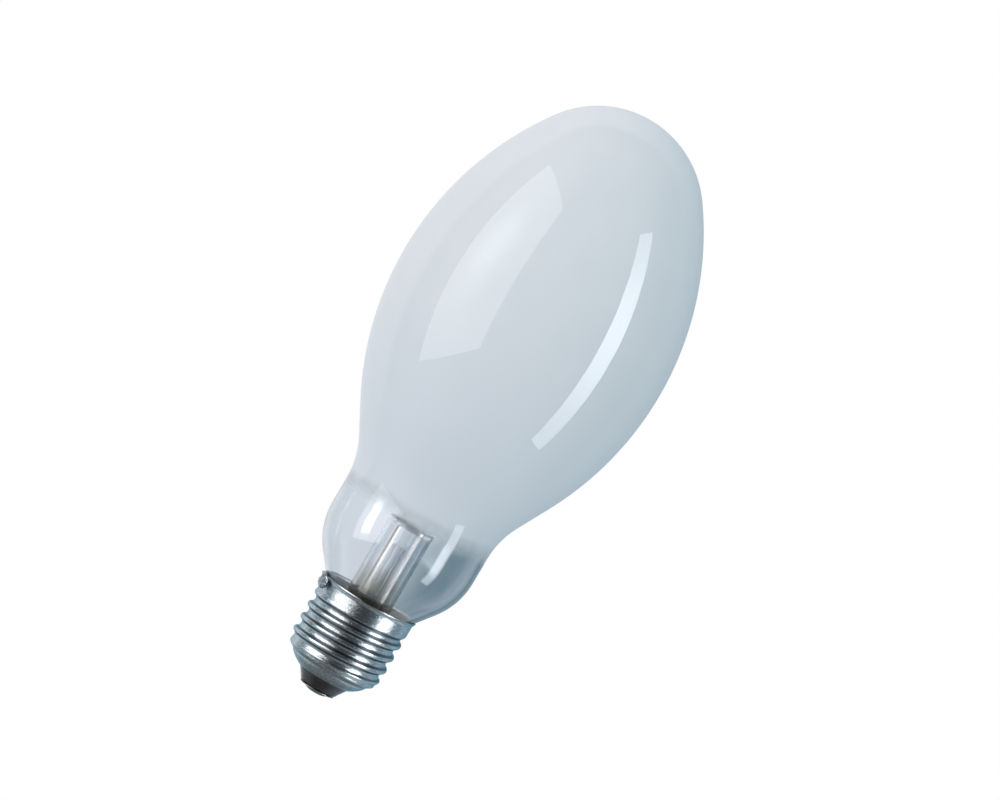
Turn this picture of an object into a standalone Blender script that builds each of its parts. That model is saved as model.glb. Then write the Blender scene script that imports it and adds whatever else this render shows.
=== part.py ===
"""High pressure sodium lamp: a coated elliptical bulb on an E27 screw cap.

Lengths in this file are millimetres and become metres when a mesh is made.
The origin is the centre of the flat on the contact solder. +Z runs along the lamp, towards the
tip of the bulb, and an azimuth is an angle about +Z counted from +X, anticlockwise from above.
"""

import math

import bmesh
import bpy
from mathutils import Vector

MM = 0.001
GAP = 0.3                    # clearance between two pieces that touch in the lamp
HALF_TURN = math.pi

# Screw cap, heights stacked from the contact upwards
SOLDER_DROP = 0.9            # contact solder below the contact plate
PLATE_THICK = 0.3
SKIRT_HEIGHT = 3.2           # glossy black insulator below the shell
DISH_HEIGHT = 4.0            # shell from its foot to the start of the thread
THREAD_LENGTH = 15.6
COLLAR_LENGTH = 3.5          # plain top of the shell
RIM_FLARE_LENGTH = 1.1
SHEET = 0.3                  # shell metal
CAP_DIAMETER = 26.4          # over the thread's crests
THREAD_DEPTH = 1.15
THREAD_PITCH = 3.629
THREAD_RUNOUT = 2.2          # length in which the thread fades at each end
THREAD_PHASE = 3.2           # crest above the thread's start, at azimuth 180
FOOT_RADIUS = 7.7
DISH_CORNER = (9.9, 1.25)    # radius, and height above the foot, that the dish bends round
DISH_EDGE = (10.7, 2.45)     # radius, and height above the foot, where the dish ends
DISH_RADIUS = 12.35          # where the shoulder above the dish meets the thread
COLLAR_STEP = 0.15           # collar inside the crests
RIM_FLARE = 0.5

# Contact and insulator
PLATE_RADIUS = 4.9
EYELET_RADIUS = 1.7
EYELET_HEIGHT = 4.3
SKIRT_FOOT_RADIUS = 5.3
SKIRT_TOP_RADIUS = 7.25
SKIRT_EDGE = 0.3
INSULATOR_RISE = 2.6         # top of the insulator above the foot of the shell
SOLDER_FLAT = 1.8
SOLDER_RADIUS = 3.7

# Cement between shell and neck
CEMENT_THICK = 0.75
CEMENT_DROP = 1.8            # below the rim
CEMENT_INSET = 6.8           # above the start of the thread

# Outer bulb, from the neck upwards
GLASS_WALL = 1.0
NECK_INSET = 4.8             # end of the neck above the start of the thread
FLARE_DROP = 5.05            # the neck starts to widen this far below the rim
NECK_FILLET = 5.0
CONE_ANGLE = math.radians(37)
BULGE_RADIUS = 19.4
THROAT_RADIUS = 20.8
THROAT_LENGTH = 7.35
WAIST_RADIUS = 22.6
SLOPE_LENGTH = 9.35          # straight stretch between the waist and the shoulder
SHOULDER_HEIGHT = 57.8       # top of the throat to the belly
BELLY_RADIUS = 37.5
DOME_HEIGHT = 59.7           # belly to the tip
TIP_RADIUS = 26.8
COATING_HEIGHT = 0.5         # lower edge of the white coating above the throat

# Stem
STEM_RADIUS = 6.3
STEM_WALL = 1.2
FLANGE_THICK = 1.2
SKIRT_RISE = 5.3             # flared foot of the stem
SKIRT_EASE = 0.5             # start of the flare outside the tube
STEM_TUBE_HEIGHT = 30.5      # underside of the flange to the start of the press
PRESS_HEIGHT = 8.0
PRESS_WIDTH = 13.8
PRESS_THICK = 4.8
PRESS_EDGE = 0.5
EXHAUST_RADIUS = 2.0
EXHAUST_WALL = 0.7
EXHAUST_LIFT = 2.0           # sealed tip above the underside of the flange

# Wires and frame
LEAD_RADIUS = 0.3
LEAD_SPACING = 6.2
LEAD_TOP = 1.0               # above the press
NOTCH_AZIMUTH = math.radians(195)
NOTCH_WIDTH = 1.3
LEAD_EXIT_DROP = 1.9         # shell lead below the rim where it comes out
LEAD_REACH = 0.65            # tip of the shell lead outside the collar
LEAD_CLEARANCE = 0.4
LEAD_BEND = 0.8
LUMP_HALF_ANGLE = math.radians(20)
LUMP_HALF_HEIGHT = 1.8
LUMP_THICK = 1.25
POST_RADIUS = 0.8
FRAME_OFFSET = 12.0
FRAME_STRAIGHT = 3.7
FRAME_SLANT = 7.0
FRAME_HOOK = 1.5             # end of the frame beyond the axis
BEND = 2.5
STRAP_THICK = 1.5
STRAP_MARGIN = 1.1           # metal around the post's hole
GUIDE_THICK = 1.0
GUIDE_MARGIN = 1.2
STRAP_DISTANCE = 6.0         # strap and guide from the ends of the arc tube
POST_OVERRUN = 1.0
RIBBON_THICK = 0.3
RIBBON_WIDTH = 3.0
RIBBON_RISE = 2.4
RIBBON_BEND = 1.2

# Arc tube, measured from its middle
ARC_LENGTH = 66.0
ARC_RADIUS = 3.6
ARC_WALL = 0.7
PLUG_THICK = 3.0
FEED_RADIUS = 1.2
FEED_WALL = 0.5
FEED_LENGTH = 9.0            # outside the arc tube
FEED_DEPTH = 2.6             # inside the plug
SHANK_RADIUS = 0.4
SHANK_LENGTH = 5.0           # inside the feedthrough
COIL_RADIUS = 1.0
COIL_LENGTH = 5.0
ELECTRODE_TIP = 1.5
SEAL_RADIUS = 2.6
SEAL_THICK = 0.7
BAND_THICK = 0.2
BAND_LENGTH = 8.0
BAND_INSET = 0.5

# Starting wire and getters
STARTER_RADIUS = 0.2
STARTER_TURNS = 5
STARTER_INSET = 10.0
GETTER_RADIUS = 3.5
GETTER_CHANNEL = 1.2
GETTER_LIFT = 4.0            # arm above the foot of the short post
GETTER_REACH = 5.0           # from the middle of the post to the ring
GETTER_ARM_RADIUS = 0.4

# Facets
BULB_SIDES = 40
CAP_SIDES = 24
THREAD_ROWS = 6              # rows of facets in one pitch
STEM_SIDES = 24
SMALL_SIDES = 16
FINE_SIDES = 12
ARC_STEPS = 5
DISH_STEPS = 4
SHOULDER_STEPS = 3

# Heights
PLATE_Z = SOLDER_DROP
SKIRT_Z = PLATE_Z + PLATE_THICK + GAP
FOOT_Z = SKIRT_Z + SKIRT_HEIGHT
THREAD_Z = FOOT_Z + DISH_HEIGHT
COLLAR_Z = THREAD_Z + THREAD_LENGTH
RIM_Z = COLLAR_Z + COLLAR_LENGTH
NECK_Z = THREAD_Z + NECK_INSET
FLARE_Z = RIM_Z - FLARE_DROP
FLANGE_Z = NECK_Z - GAP - FLANGE_THICK
PRESS_Z = FLANGE_Z + STEM_TUBE_HEIGHT
PRESS_TOP = PRESS_Z + PRESS_HEIGHT
LEAD_END = PRESS_TOP + LEAD_TOP
POST_Z = LEAD_END + GAP

# Radii that follow from the cap
CREST_RADIUS = CAP_DIAMETER / 2
ROOT_RADIUS = CREST_RADIUS - THREAD_DEPTH
COLLAR_RADIUS = CREST_RADIUS - COLLAR_STEP
RIM_RADIUS = COLLAR_RADIUS + RIM_FLARE
CEMENT_RADIUS = ROOT_RADIUS - SHEET - GAP
NECK_RADIUS = CEMENT_RADIUS - CEMENT_THICK - GAP
LEAD_TIP = COLLAR_RADIUS + LEAD_REACH


def arc(centre, radius, start, end, steps):
    """Points (r, z) on a round stretch of an outline."""
    turn = (end - start) / steps
    return [(centre[0] + radius * math.cos(start + turn * i), centre[1] + radius * math.sin(start + turn * i))
            for i in range(steps + 1)]


def offset_outline(outline, distance):
    """The outline moved to its left by a distance, square to itself at each point."""
    moved = []
    for i, (r, z) in enumerate(outline):
        before = outline[max(i - 1, 0)]
        after = outline[min(i + 1, len(outline) - 1)]
        along = Vector((after[0] - before[0], after[1] - before[1])).normalized()
        moved.append((r - along.y * distance, z + along.x * distance))
    return moved


def radius_at(outline, height):
    """Radius of a rising outline at a height."""
    for (r0, z0), (r1, z1) in zip(outline, outline[1:]):
        if z0 <= height <= z1 and z1 > z0:
            return r0 + (r1 - r0) * (height - z0) / (z1 - z0)
    return outline[-1][0]


def smooth(value):
    value = min(max(value, 0.0), 1.0)
    return value * value * (3 - 2 * value)


# Outer bulb outline, worked out as one chain of tangent arcs
THROAT_Z = (FLARE_Z + NECK_FILLET * math.sin(CONE_ANGLE)
            + (THROAT_RADIUS - NECK_RADIUS - (NECK_FILLET + BULGE_RADIUS) * (1 - math.cos(CONE_ANGLE)))
            / math.tan(CONE_ANGLE) + BULGE_RADIUS * math.sin(CONE_ANGLE))
WAIST_Z = THROAT_Z + THROAT_LENGTH
BELLY_Z = WAIST_Z + SHOULDER_HEIGHT
TOP_Z = BELLY_Z + DOME_HEIGHT
SLOPE_ANGLE = 2 * math.atan((BELLY_RADIUS - THROAT_RADIUS) / (SHOULDER_HEIGHT + SLOPE_LENGTH))
SHOULDER_RADIUS = (SHOULDER_HEIGHT - SLOPE_LENGTH * math.cos(SLOPE_ANGLE)) / math.sin(SLOPE_ANGLE) - WAIST_RADIUS
CROWN_RADIUS = ((BELLY_RADIUS ** 2 + DOME_HEIGHT ** 2 - 2 * DOME_HEIGHT * TIP_RADIUS)
                / (2 * (BELLY_RADIUS - TIP_RADIUS)))
CROWN_ANGLE = math.atan2(DOME_HEIGHT - TIP_RADIUS, CROWN_RADIUS - BELLY_RADIUS)


def bulb_outline(inwards):
    """Bulb from the end of the neck to the tip, moved towards the inside by a distance."""
    points = [(NECK_RADIUS - inwards, NECK_Z)]
    points += arc((NECK_RADIUS + NECK_FILLET, FLARE_Z), NECK_FILLET + inwards,
                  HALF_TURN, HALF_TURN - CONE_ANGLE, 3)
    points += arc((THROAT_RADIUS - BULGE_RADIUS, THROAT_Z), BULGE_RADIUS - inwards, -CONE_ANGLE, 0, 4)
    points += arc((THROAT_RADIUS + WAIST_RADIUS, WAIST_Z), WAIST_RADIUS + inwards,
                  HALF_TURN, HALF_TURN - SLOPE_ANGLE, 3)
    points += arc((BELLY_RADIUS - SHOULDER_RADIUS, BELLY_Z), SHOULDER_RADIUS - inwards, -SLOPE_ANGLE, 0, 4)
    points += arc((BELLY_RADIUS - CROWN_RADIUS, BELLY_Z), CROWN_RADIUS - inwards, 0, CROWN_ANGLE, 5)[1:]
    points += arc((0, TOP_Z - TIP_RADIUS), TIP_RADIUS - inwards, CROWN_ANGLE, HALF_TURN / 2, 5)[1:-1]
    return points + [(0, TOP_Z - inwards)]


def finish(bm, name, crease=40):
    """Close the edit of a mesh: faces outwards, round stretches smooth."""
    bmesh.ops.recalc_face_normals(bm, faces=bm.faces)
    mesh = bpy.data.meshes.new(name)
    bm.to_mesh(mesh)
    bm.free()
    mesh.shade_smooth()
    mesh.set_sharp_from_angle(angle=math.radians(crease))
    return mesh


def turned(name, outline, sides, closed=False):
    """Body turned about Z from an outline of (r, z) points: a closed loop, or open with both ends on Z."""
    bm = bmesh.new()
    points = [bm.verts.new((r * MM, 0, z * MM)) for r, z in outline]
    pairs = list(zip(points, points[1:])) + ([(points[-1], points[0])] if closed else [])
    edges = [bm.edges.new(pair) for pair in pairs]
    bmesh.ops.spin(bm, geom=points + edges, cent=(0, 0, 0), axis=(0, 0, 1), angle=2 * math.pi, steps=sides,
                   use_merge=True)
    bmesh.ops.remove_doubles(bm, verts=bm.verts, dist=0.001 * MM)
    return finish(bm, name)


def lofted(name, rings, looped=False):
    """Body through rings with the same number of points, capped at its two ends unless it is looped."""
    bm = bmesh.new()
    loops = [[bm.verts.new(Vector(point) * MM) for point in ring] for ring in rings]
    for low, high in zip(loops, loops[1:] + (loops[:1] if looped else [])):
        for i, vert in enumerate(low):
            follow = (i + 1) % len(low)
            bm.faces.new((vert, low[follow], high[follow], high[i]))
    if not looped:
        bm.faces.new(loops[0])
        bm.faces.new(loops[-1])
    return finish(bm, name)


def plate(name, outline, thickness):
    """Flat plate of an XY outline, standing on z = 0."""
    rings = [[(x, y, z) for x, y in outline] for z in (0, thickness)]
    return lofted(name, rings)


def material(name, colour, roughness, metallic=0.0, transmission=0.0):
    look = bpy.data.materials.new(name)
    look.use_nodes = True
    shader = look.node_tree.nodes["Principled BSDF"]
    shader.inputs["Base Color"].default_value = (*colour, 1)
    shader.inputs["Roughness"].default_value = roughness
    shader.inputs["Metallic"].default_value = metallic
    shader.inputs["Transmission Weight"].default_value = transmission
    look.diffuse_color = (*colour, 1)
    return look


def add(name, data, look, height=0.0, flipped=False):
    """One piece of the lamp, at a height on the lamp's axis and upside down where it is flipped."""
    piece = bpy.data.objects.new(name, data)
    if look.name not in data.materials:
        data.materials.append(look)
    piece.parent = lamp
    piece.location.z = height * MM
    piece.rotation_euler.x = HALF_TURN if flipped else 0
    bpy.context.collection.objects.link(piece)
    return piece


def cut(piece, mesh, place=(0, 0, 0), azimuth=0.0):
    """Take a cutter's shape out of a piece."""
    cutter = bpy.data.objects.new(mesh.name, mesh)
    cutter.parent = lamp
    cutter.location = Vector(place) * MM
    cutter.rotation_euler.z = azimuth
    cutter.hide_render = True
    cutter.display_type = "WIRE"
    bpy.context.collection.objects.link(cutter)
    difference = piece.modifiers.new(mesh.name, "BOOLEAN")
    difference.operation = "DIFFERENCE"
    difference.solver = "EXACT"
    difference.object = cutter


def block(name, x, y, z):
    """Cutter with straight sides between pairs of limits."""
    corners = [(x[0], y[0]), (x[1], y[0]), (x[1], y[1]), (x[0], y[1])]
    return lofted(name, [[(a, b, c) for a, b in corners] for c in z])


def bent(corners, radius, steps=ARC_STEPS):
    """Route along straight runs with each corner rounded to a bend radius."""
    corners = [Vector(corner) for corner in corners]
    route = [corners[0]]
    for before, corner, after in zip(corners, corners[1:], corners[2:]):
        back = (before - corner).normalized()
        ahead = (after - corner).normalized()
        half = back.angle(ahead) / 2
        reach = radius / math.tan(half)
        centre = corner + (back + ahead).normalized() * (radius / math.sin(half))
        first = corner + back * reach - centre
        last = corner + ahead * reach - centre
        route += [centre + first.slerp(last, i / steps).normalized() * radius for i in range(steps + 1)]
    return route + [corners[-1]]


def wire(name, route, radius, look, sides=6, height=0.0):
    """Round wire along a route."""
    curve = bpy.data.curves.new(name, "CURVE")
    curve.dimensions = "3D"
    curve.bevel_depth = radius * MM
    curve.bevel_resolution = (sides - 4) // 2
    curve.use_fill_caps = True
    spline = curve.splines.new("POLY")
    spline.points.add(len(route) - 1)
    for point, place in zip(spline.points, route):
        point.co = (*(Vector(place) * MM), 1)
    return add(name, curve, look, height)


def circle(radius, sides, x=0.0, y=0.0, start=0.0, end=2 * math.pi):
    """Corners of a circle, or of a stretch of one that includes both its ends."""
    whole = end - start > 1.99 * math.pi
    count = sides if whole else sides + 1
    return [(x + radius * math.cos(start + (end - start) * i / sides),
             y + radius * math.sin(start + (end - start) * i / sides)) for i in range(count)]


def polar(radius, azimuth, z):
    return (radius * math.cos(azimuth), radius * math.sin(azimuth), z)


# Cap shell

def shell_outline(azimuth):
    """Outside of the shell at one azimuth, from the foot to the rim."""
    corner = (DISH_CORNER[0], FOOT_Z + DISH_CORNER[1])
    edge = (DISH_EDGE[0], FOOT_Z + DISH_EDGE[1])
    outline = []
    for i in range(DISH_STEPS):
        t = i / DISH_STEPS
        outline.append(tuple((1 - t) ** 2 * a + 2 * t * (1 - t) * b + t * t * c
                             for a, b, c in zip((FOOT_RADIUS, FOOT_Z), corner, edge)))
    for i in range(SHOULDER_STEPS):
        t = i / SHOULDER_STEPS
        outline.append((edge[0] + (DISH_RADIUS - edge[0]) * smooth(t), edge[1] + (THREAD_Z - edge[1]) * t))
    rows = round(THREAD_LENGTH / THREAD_PITCH * THREAD_ROWS)
    crest = THREAD_Z + THREAD_PHASE + THREAD_PITCH * (azimuth - HALF_TURN) / (2 * math.pi)
    for i in range(rows + 1):
        z = THREAD_Z + THREAD_LENGTH * i / rows
        plain = DISH_RADIUS if i < rows / 2 else COLLAR_RADIUS
        strength = smooth((z - THREAD_Z) / THREAD_RUNOUT) * smooth((COLLAR_Z - z) / THREAD_RUNOUT)
        wave = math.cos(2 * math.pi * (z - crest) / THREAD_PITCH)
        thread = CREST_RADIUS - THREAD_DEPTH * (1 - wave) / 2
        outline.append((plain + (thread - plain) * strength, z))
    outline.append((COLLAR_RADIUS, RIM_Z - RIM_FLARE_LENGTH))
    outline.append((COLLAR_RADIUS + RIM_FLARE * 0.35, RIM_Z - RIM_FLARE_LENGTH * 0.5))
    outline.append((RIM_RADIUS, RIM_Z))
    return outline


def make_cap_shell():
    rings = []
    for i in range(CAP_SIDES):
        azimuth = 2 * math.pi * i / CAP_SIDES
        outside = shell_outline(azimuth)
        inside = offset_outline(outside, SHEET)
        rings.append([polar(r, azimuth, z) for r, z in outside + inside[::-1]])
    shell = add("cap_shell", lofted("cap_shell", rings, looped=True), nickel)
    notch = block("rim_notch", (ROOT_RADIUS - THREAD_DEPTH, RIM_RADIUS + 1), (-NOTCH_WIDTH / 2, NOTCH_WIDTH / 2),
                  (RIM_Z - LEAD_EXIT_DROP - LEAD_RADIUS - 2 * GAP, RIM_Z + 1))
    cut(shell, notch, azimuth=NOTCH_AZIMUTH)


# Contact end

def make_insulator():
    top = FOOT_Z + INSULATOR_RISE
    shell = offset_outline(shell_outline(0), SHEET + GAP)
    inside = [(r, z) for r, z in shell[1:] if z < top - GAP]
    bore = EYELET_RADIUS + GAP
    outline = [(bore, SKIRT_Z), (SKIRT_FOOT_RADIUS - SKIRT_EDGE, SKIRT_Z),
               (SKIRT_FOOT_RADIUS, SKIRT_Z + SKIRT_EDGE), (SKIRT_TOP_RADIUS, FOOT_Z),
               (SKIRT_TOP_RADIUS, FOOT_Z + SHEET + GAP)]
    outline += inside + [(radius_at(shell, top), top), (bore, top)]
    add("cap_insulator", turned("cap_insulator", outline, CAP_SIDES, closed=True), black_glass)


def make_contact():
    bore = EYELET_RADIUS - PLATE_THICK
    top = PLATE_Z + PLATE_THICK
    outline = [(bore, PLATE_Z), (PLATE_RADIUS - PLATE_THICK, PLATE_Z), (PLATE_RADIUS, PLATE_Z + PLATE_THICK / 2),
               (PLATE_RADIUS, top), (EYELET_RADIUS, top), (EYELET_RADIUS, PLATE_Z + EYELET_HEIGHT),
               (bore, PLATE_Z + EYELET_HEIGHT)]
    add("contact_plate", turned("contact_plate", outline, CAP_SIDES, closed=True), brass)
    plug = bore - GAP
    pocket = LEAD_RADIUS + GAP
    under = PLATE_Z - GAP
    rise = PLATE_Z + EYELET_HEIGHT / 3
    spread = SOLDER_RADIUS - SOLDER_FLAT
    outline = [(0, 0)] + [(SOLDER_FLAT + spread * share, under * share ** 2) for share in (0, 0.4, 0.75, 1)]
    outline += [(plug, under), (plug, rise), (pocket, rise), (pocket, PLATE_Z), (0, PLATE_Z)]
    add("contact_solder", turned("contact_solder", outline, CAP_SIDES), solder)


def make_cement():
    glass = bulb_outline(-GAP)
    low = THREAD_Z + CEMENT_INSET
    high = RIM_Z - CEMENT_DROP
    outer = COLLAR_RADIUS - SHEET - GAP
    inner = [(r, z) for r, z in glass if low < z < high - GAP]
    outline = [(radius_at(glass, low), low), (CEMENT_RADIUS, low), (CEMENT_RADIUS, COLLAR_Z - THREAD_RUNOUT / 4),
               (outer, COLLAR_Z + GAP), (outer, high), (radius_at(glass, high), high)]
    outline += inner[::-1]
    ring = add("cap_cement", turned("cap_cement", outline, CAP_SIDES, closed=True), cement)
    slot = block("lead_slot", (NECK_RADIUS - 1, RIM_RADIUS), (-NOTCH_WIDTH / 2, NOTCH_WIDTH / 2),
                 (low - 1, high + 1))
    cut(ring, slot, azimuth=NOTCH_AZIMUTH)


# Glass

def make_bulb():
    outline = bulb_outline(GLASS_WALL)[::-1] + bulb_outline(0)
    mesh = turned("outer_bulb", outline, BULB_SIDES)
    mesh.materials.append(coated_glass)
    mesh.materials.append(clear_glass)
    edge = (WAIST_Z + COATING_HEIGHT) * MM
    for face in mesh.polygons:
        face.material_index = 0 if face.center.z > edge else 1
    add("outer_bulb", mesh, coated_glass)


def oval(a, b, power, z):
    """Ring of a superellipse: an ellipse at power 2, and squarer above it."""
    ring = []
    for i in range(STEM_SIDES):
        turn = 2 * math.pi * i / STEM_SIDES
        x = math.copysign(abs(math.cos(turn)) ** (2 / power), math.cos(turn))
        y = math.copysign(abs(math.sin(turn)) ** (2 / power), math.sin(turn))
        ring.append((a * x, b * y, z))
    return ring


def make_stem():
    """Flared tube, fused to the neck at its foot and pressed flat on the wires at its top."""
    inner = STEM_RADIUS - STEM_WALL
    half_width = PRESS_WIDTH / 2
    half_thick = PRESS_THICK / 2
    foot = FLANGE_Z + FLANGE_THICK
    inside_neck = NECK_RADIUS - GLASS_WALL - GAP
    bore_end = PRESS_Z + STEM_WALL
    rings = [oval(inner - STEM_WALL / 2, half_thick, 2, bore_end),
             oval(inner, inner, 2, bore_end - inner * 0.7),
             oval(inner, inner, 2, FLANGE_Z + SKIRT_RISE),
             oval(inner + SKIRT_EASE, inner + SKIRT_EASE, 2, FLANGE_Z + SKIRT_RISE * 0.45),
             oval(NECK_RADIUS - STEM_WALL, NECK_RADIUS - STEM_WALL, 2, FLANGE_Z),
             oval(NECK_RADIUS, NECK_RADIUS, 2, FLANGE_Z),
             oval(NECK_RADIUS, NECK_RADIUS, 2, foot),
             oval(inside_neck, inside_neck, 2, foot),
             oval(STEM_RADIUS + SKIRT_EASE, STEM_RADIUS + SKIRT_EASE, 2, FLANGE_Z + SKIRT_RISE * 0.6),
             oval(STEM_RADIUS, STEM_RADIUS, 2, FLANGE_Z + SKIRT_RISE * 1.1),
             oval(STEM_RADIUS, STEM_RADIUS, 2, PRESS_Z - STEM_WALL),
             oval((STEM_RADIUS + half_width) / 2, (STEM_RADIUS + half_thick) / 2, 2.2, PRESS_Z + STEM_WALL),
             oval(half_width, half_thick * 1.15, 3, PRESS_Z + PRESS_HEIGHT * 0.45),
             oval(half_width, half_thick, 4, PRESS_TOP - PRESS_EDGE),
             oval(half_width - PRESS_EDGE, half_thick - PRESS_EDGE, 4, PRESS_TOP)]
    stem = add("stem_glass", lofted("stem_glass", rings), clear_glass)
    for side, x in (("left", -LEAD_SPACING / 2), ("right", LEAD_SPACING / 2)):
        ends = [[(*corner, z) for corner in circle(LEAD_RADIUS + GAP, FINE_SIDES)]
                for z in (PRESS_Z - STEM_WALL, PRESS_TOP + 1)]
        cut(stem, lofted(f"{side}_wire_hole", ends), (x, 0, 0))


def make_exhaust_tube():
    low = FLANGE_Z + EXHAUST_LIFT
    high = PRESS_Z + STEM_WALL - GAP
    bore = EXHAUST_RADIUS - EXHAUST_WALL
    outline = [(0, low), (EXHAUST_RADIUS * 0.6, low + EXHAUST_RADIUS * 0.4), (EXHAUST_RADIUS, low + EXHAUST_RADIUS * 1.5),
               (EXHAUST_RADIUS, high), (bore, high), (bore, low + EXHAUST_RADIUS * 1.5),
               (bore * 0.4, low + EXHAUST_RADIUS), (0, low + EXHAUST_RADIUS * 0.9)]
    add("exhaust_tube", turned("exhaust_tube", outline, FINE_SIDES), clear_glass)


# Leads and rim solder

def make_leads():
    x = LEAD_SPACING / 2
    under_flange = FLANGE_Z - LEAD_RADIUS - LEAD_CLEARANCE
    beside_neck = CEMENT_RADIUS - CEMENT_THICK / 2
    exit_z = RIM_Z - LEAD_EXIT_DROP
    near_rim = COLLAR_RADIUS - SHEET - LEAD_RADIUS - GAP / 2
    route = bent([(-x, 0, LEAD_END), (-x, 0, under_flange),
                  polar(beside_neck, NOTCH_AZIMUTH, under_flange),
                  polar(beside_neck, NOTCH_AZIMUTH, FLARE_Z - LEAD_BEND),
                  polar(near_rim, NOTCH_AZIMUTH, exit_z),
                  polar(LEAD_TIP, NOTCH_AZIMUTH, exit_z)], LEAD_BEND, 3)
    wire("shell_lead", route, LEAD_RADIUS, copper)
    insulator_top = THREAD_Z + LEAD_CLEARANCE
    route = bent([(x, 0, LEAD_END), (x, 0, FLANGE_Z + EXHAUST_LIFT), (0, 0, insulator_top),
                  (0, 0, PLATE_Z + GAP)], LEAD_BEND, 3)
    wire("contact_lead", route, LEAD_RADIUS, copper)


def make_rim_solder():
    """Lump of solder that holds the shell lead against the outside of the rim."""
    middle = RIM_Z - RIM_FLARE_LENGTH
    outside = shell_outline(NOTCH_AZIMUTH)
    end_size = 0.22
    slices = 8
    rings = []
    for i in range(slices + 1):
        across = 2 * i / slices - 1
        size = max(math.sqrt(1 - across ** 2), end_size)
        azimuth = NOTCH_AZIMUTH + LUMP_HALF_ANGLE * across
        ring = []
        for step in range(7):
            turn = HALF_TURN * (step / 6 - 0.5)
            z = middle + LUMP_HALF_HEIGHT * size * math.sin(turn)
            seat = radius_at(outside, max(z, COLLAR_Z)) + GAP
            ring.append(polar(seat + LUMP_THICK * size * math.cos(turn), azimuth, z))
        ring.append(polar(RIM_RADIUS + GAP, azimuth, middle + LUMP_HALF_HEIGHT * size * 0.6))
        ring.append(polar(COLLAR_RADIUS + GAP, azimuth, middle))
        rings.append(ring)
    lump = add("rim_solder", lofted("rim_solder", rings), solder)
    pocket = [(y, RIM_Z - LEAD_EXIT_DROP + z) for y, z in circle(LEAD_RADIUS + GAP, FINE_SIDES)]
    ends = [[(x, y, z) for y, z in pocket] for x in (COLLAR_RADIUS - LUMP_THICK, LEAD_TIP + GAP)]
    cut(lump, lofted("lead_pocket", ends), azimuth=NOTCH_AZIMUTH)


# Frame

def stadium(name, holes, radii, half_width, thickness, look, height):
    """Strap with round ends around two holes on the X axis, in order of rising x."""
    outline = (circle(half_width, 8, x=holes[1], start=-HALF_TURN / 2, end=HALF_TURN / 2)
               + circle(half_width, 8, x=holes[0], start=HALF_TURN / 2, end=HALF_TURN * 1.5))
    strap = add(name, plate(name, outline, thickness), look, height - thickness / 2)
    for i, (x, radius) in enumerate(zip(holes, radii)):
        ends = [[(*corner, z) for corner in circle(radius, FINE_SIDES)] for z in (-1, thickness + 1)]
        cut(strap, lofted(f"{name}_hole_{i + 1}", ends), (x, 0, height - thickness / 2))


def make_frame():
    x = LEAD_SPACING / 2
    low_end = BELLY_Z - ARC_LENGTH / 2
    high_end = BELLY_Z + ARC_LENGTH / 2
    strap_z = low_end - STRAP_DISTANCE
    guide_z = high_end + STRAP_DISTANCE
    hook_z = high_end + FEED_LENGTH + BEND + POST_RADIUS
    post_hole = POST_RADIUS + GAP
    feed_hole = FEED_RADIUS + GAP
    post_top = strap_z + STRAP_THICK / 2 + POST_OVERRUN
    wire("short_post", [(-x, 0, POST_Z), (-x, 0, post_top)], POST_RADIUS, steel, 8)
    rod = bent([(x, 0, POST_Z), (x, 0, POST_Z + FRAME_STRAIGHT),
                (FRAME_OFFSET, 0, POST_Z + FRAME_STRAIGHT + FRAME_SLANT),
                (FRAME_OFFSET, 0, hook_z), (-FRAME_HOOK, 0, hook_z)], BEND)
    wire("frame_rod", rod, POST_RADIUS, steel, 8)
    stadium("lower_strap", (-x, 0), (post_hole, feed_hole), feed_hole + STRAP_MARGIN - GAP, STRAP_THICK,
            steel, strap_z)
    stadium("upper_guide", (0, FRAME_OFFSET), (feed_hole, post_hole), post_hole + GUIDE_MARGIN, GUIDE_THICK,
            steel, guide_z)
    make_ribbon(guide_z + GUIDE_THICK / 2 + GAP)


def make_ribbon(low):
    """Thin strap arched from the upper feedthrough to the frame, so that the arc tube can lengthen."""
    first = FEED_RADIUS + GAP + RIBBON_THICK / 2
    last = FRAME_OFFSET - POST_RADIUS - GAP - RIBBON_THICK / 2
    high = low + RIBBON_RISE
    route = bent([(first, 0, low), (first, 0, high), (last, 0, high), (last, 0, low)], RIBBON_BEND, 4)
    rings = []
    for i, point in enumerate(route):
        along = (route[min(i + 1, len(route) - 1)] - route[max(i - 1, 0)]).normalized()
        side = Vector((along.z, 0, -along.x)) * RIBBON_THICK / 2
        edge = Vector((0, RIBBON_WIDTH / 2, 0))
        rings.append([point + side + edge, point - side + edge, point - side - edge, point + side - edge])
    add("expansion_strap", lofted("expansion_strap", rings), nickel_foil)


# Arc tube, about its own middle

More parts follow.
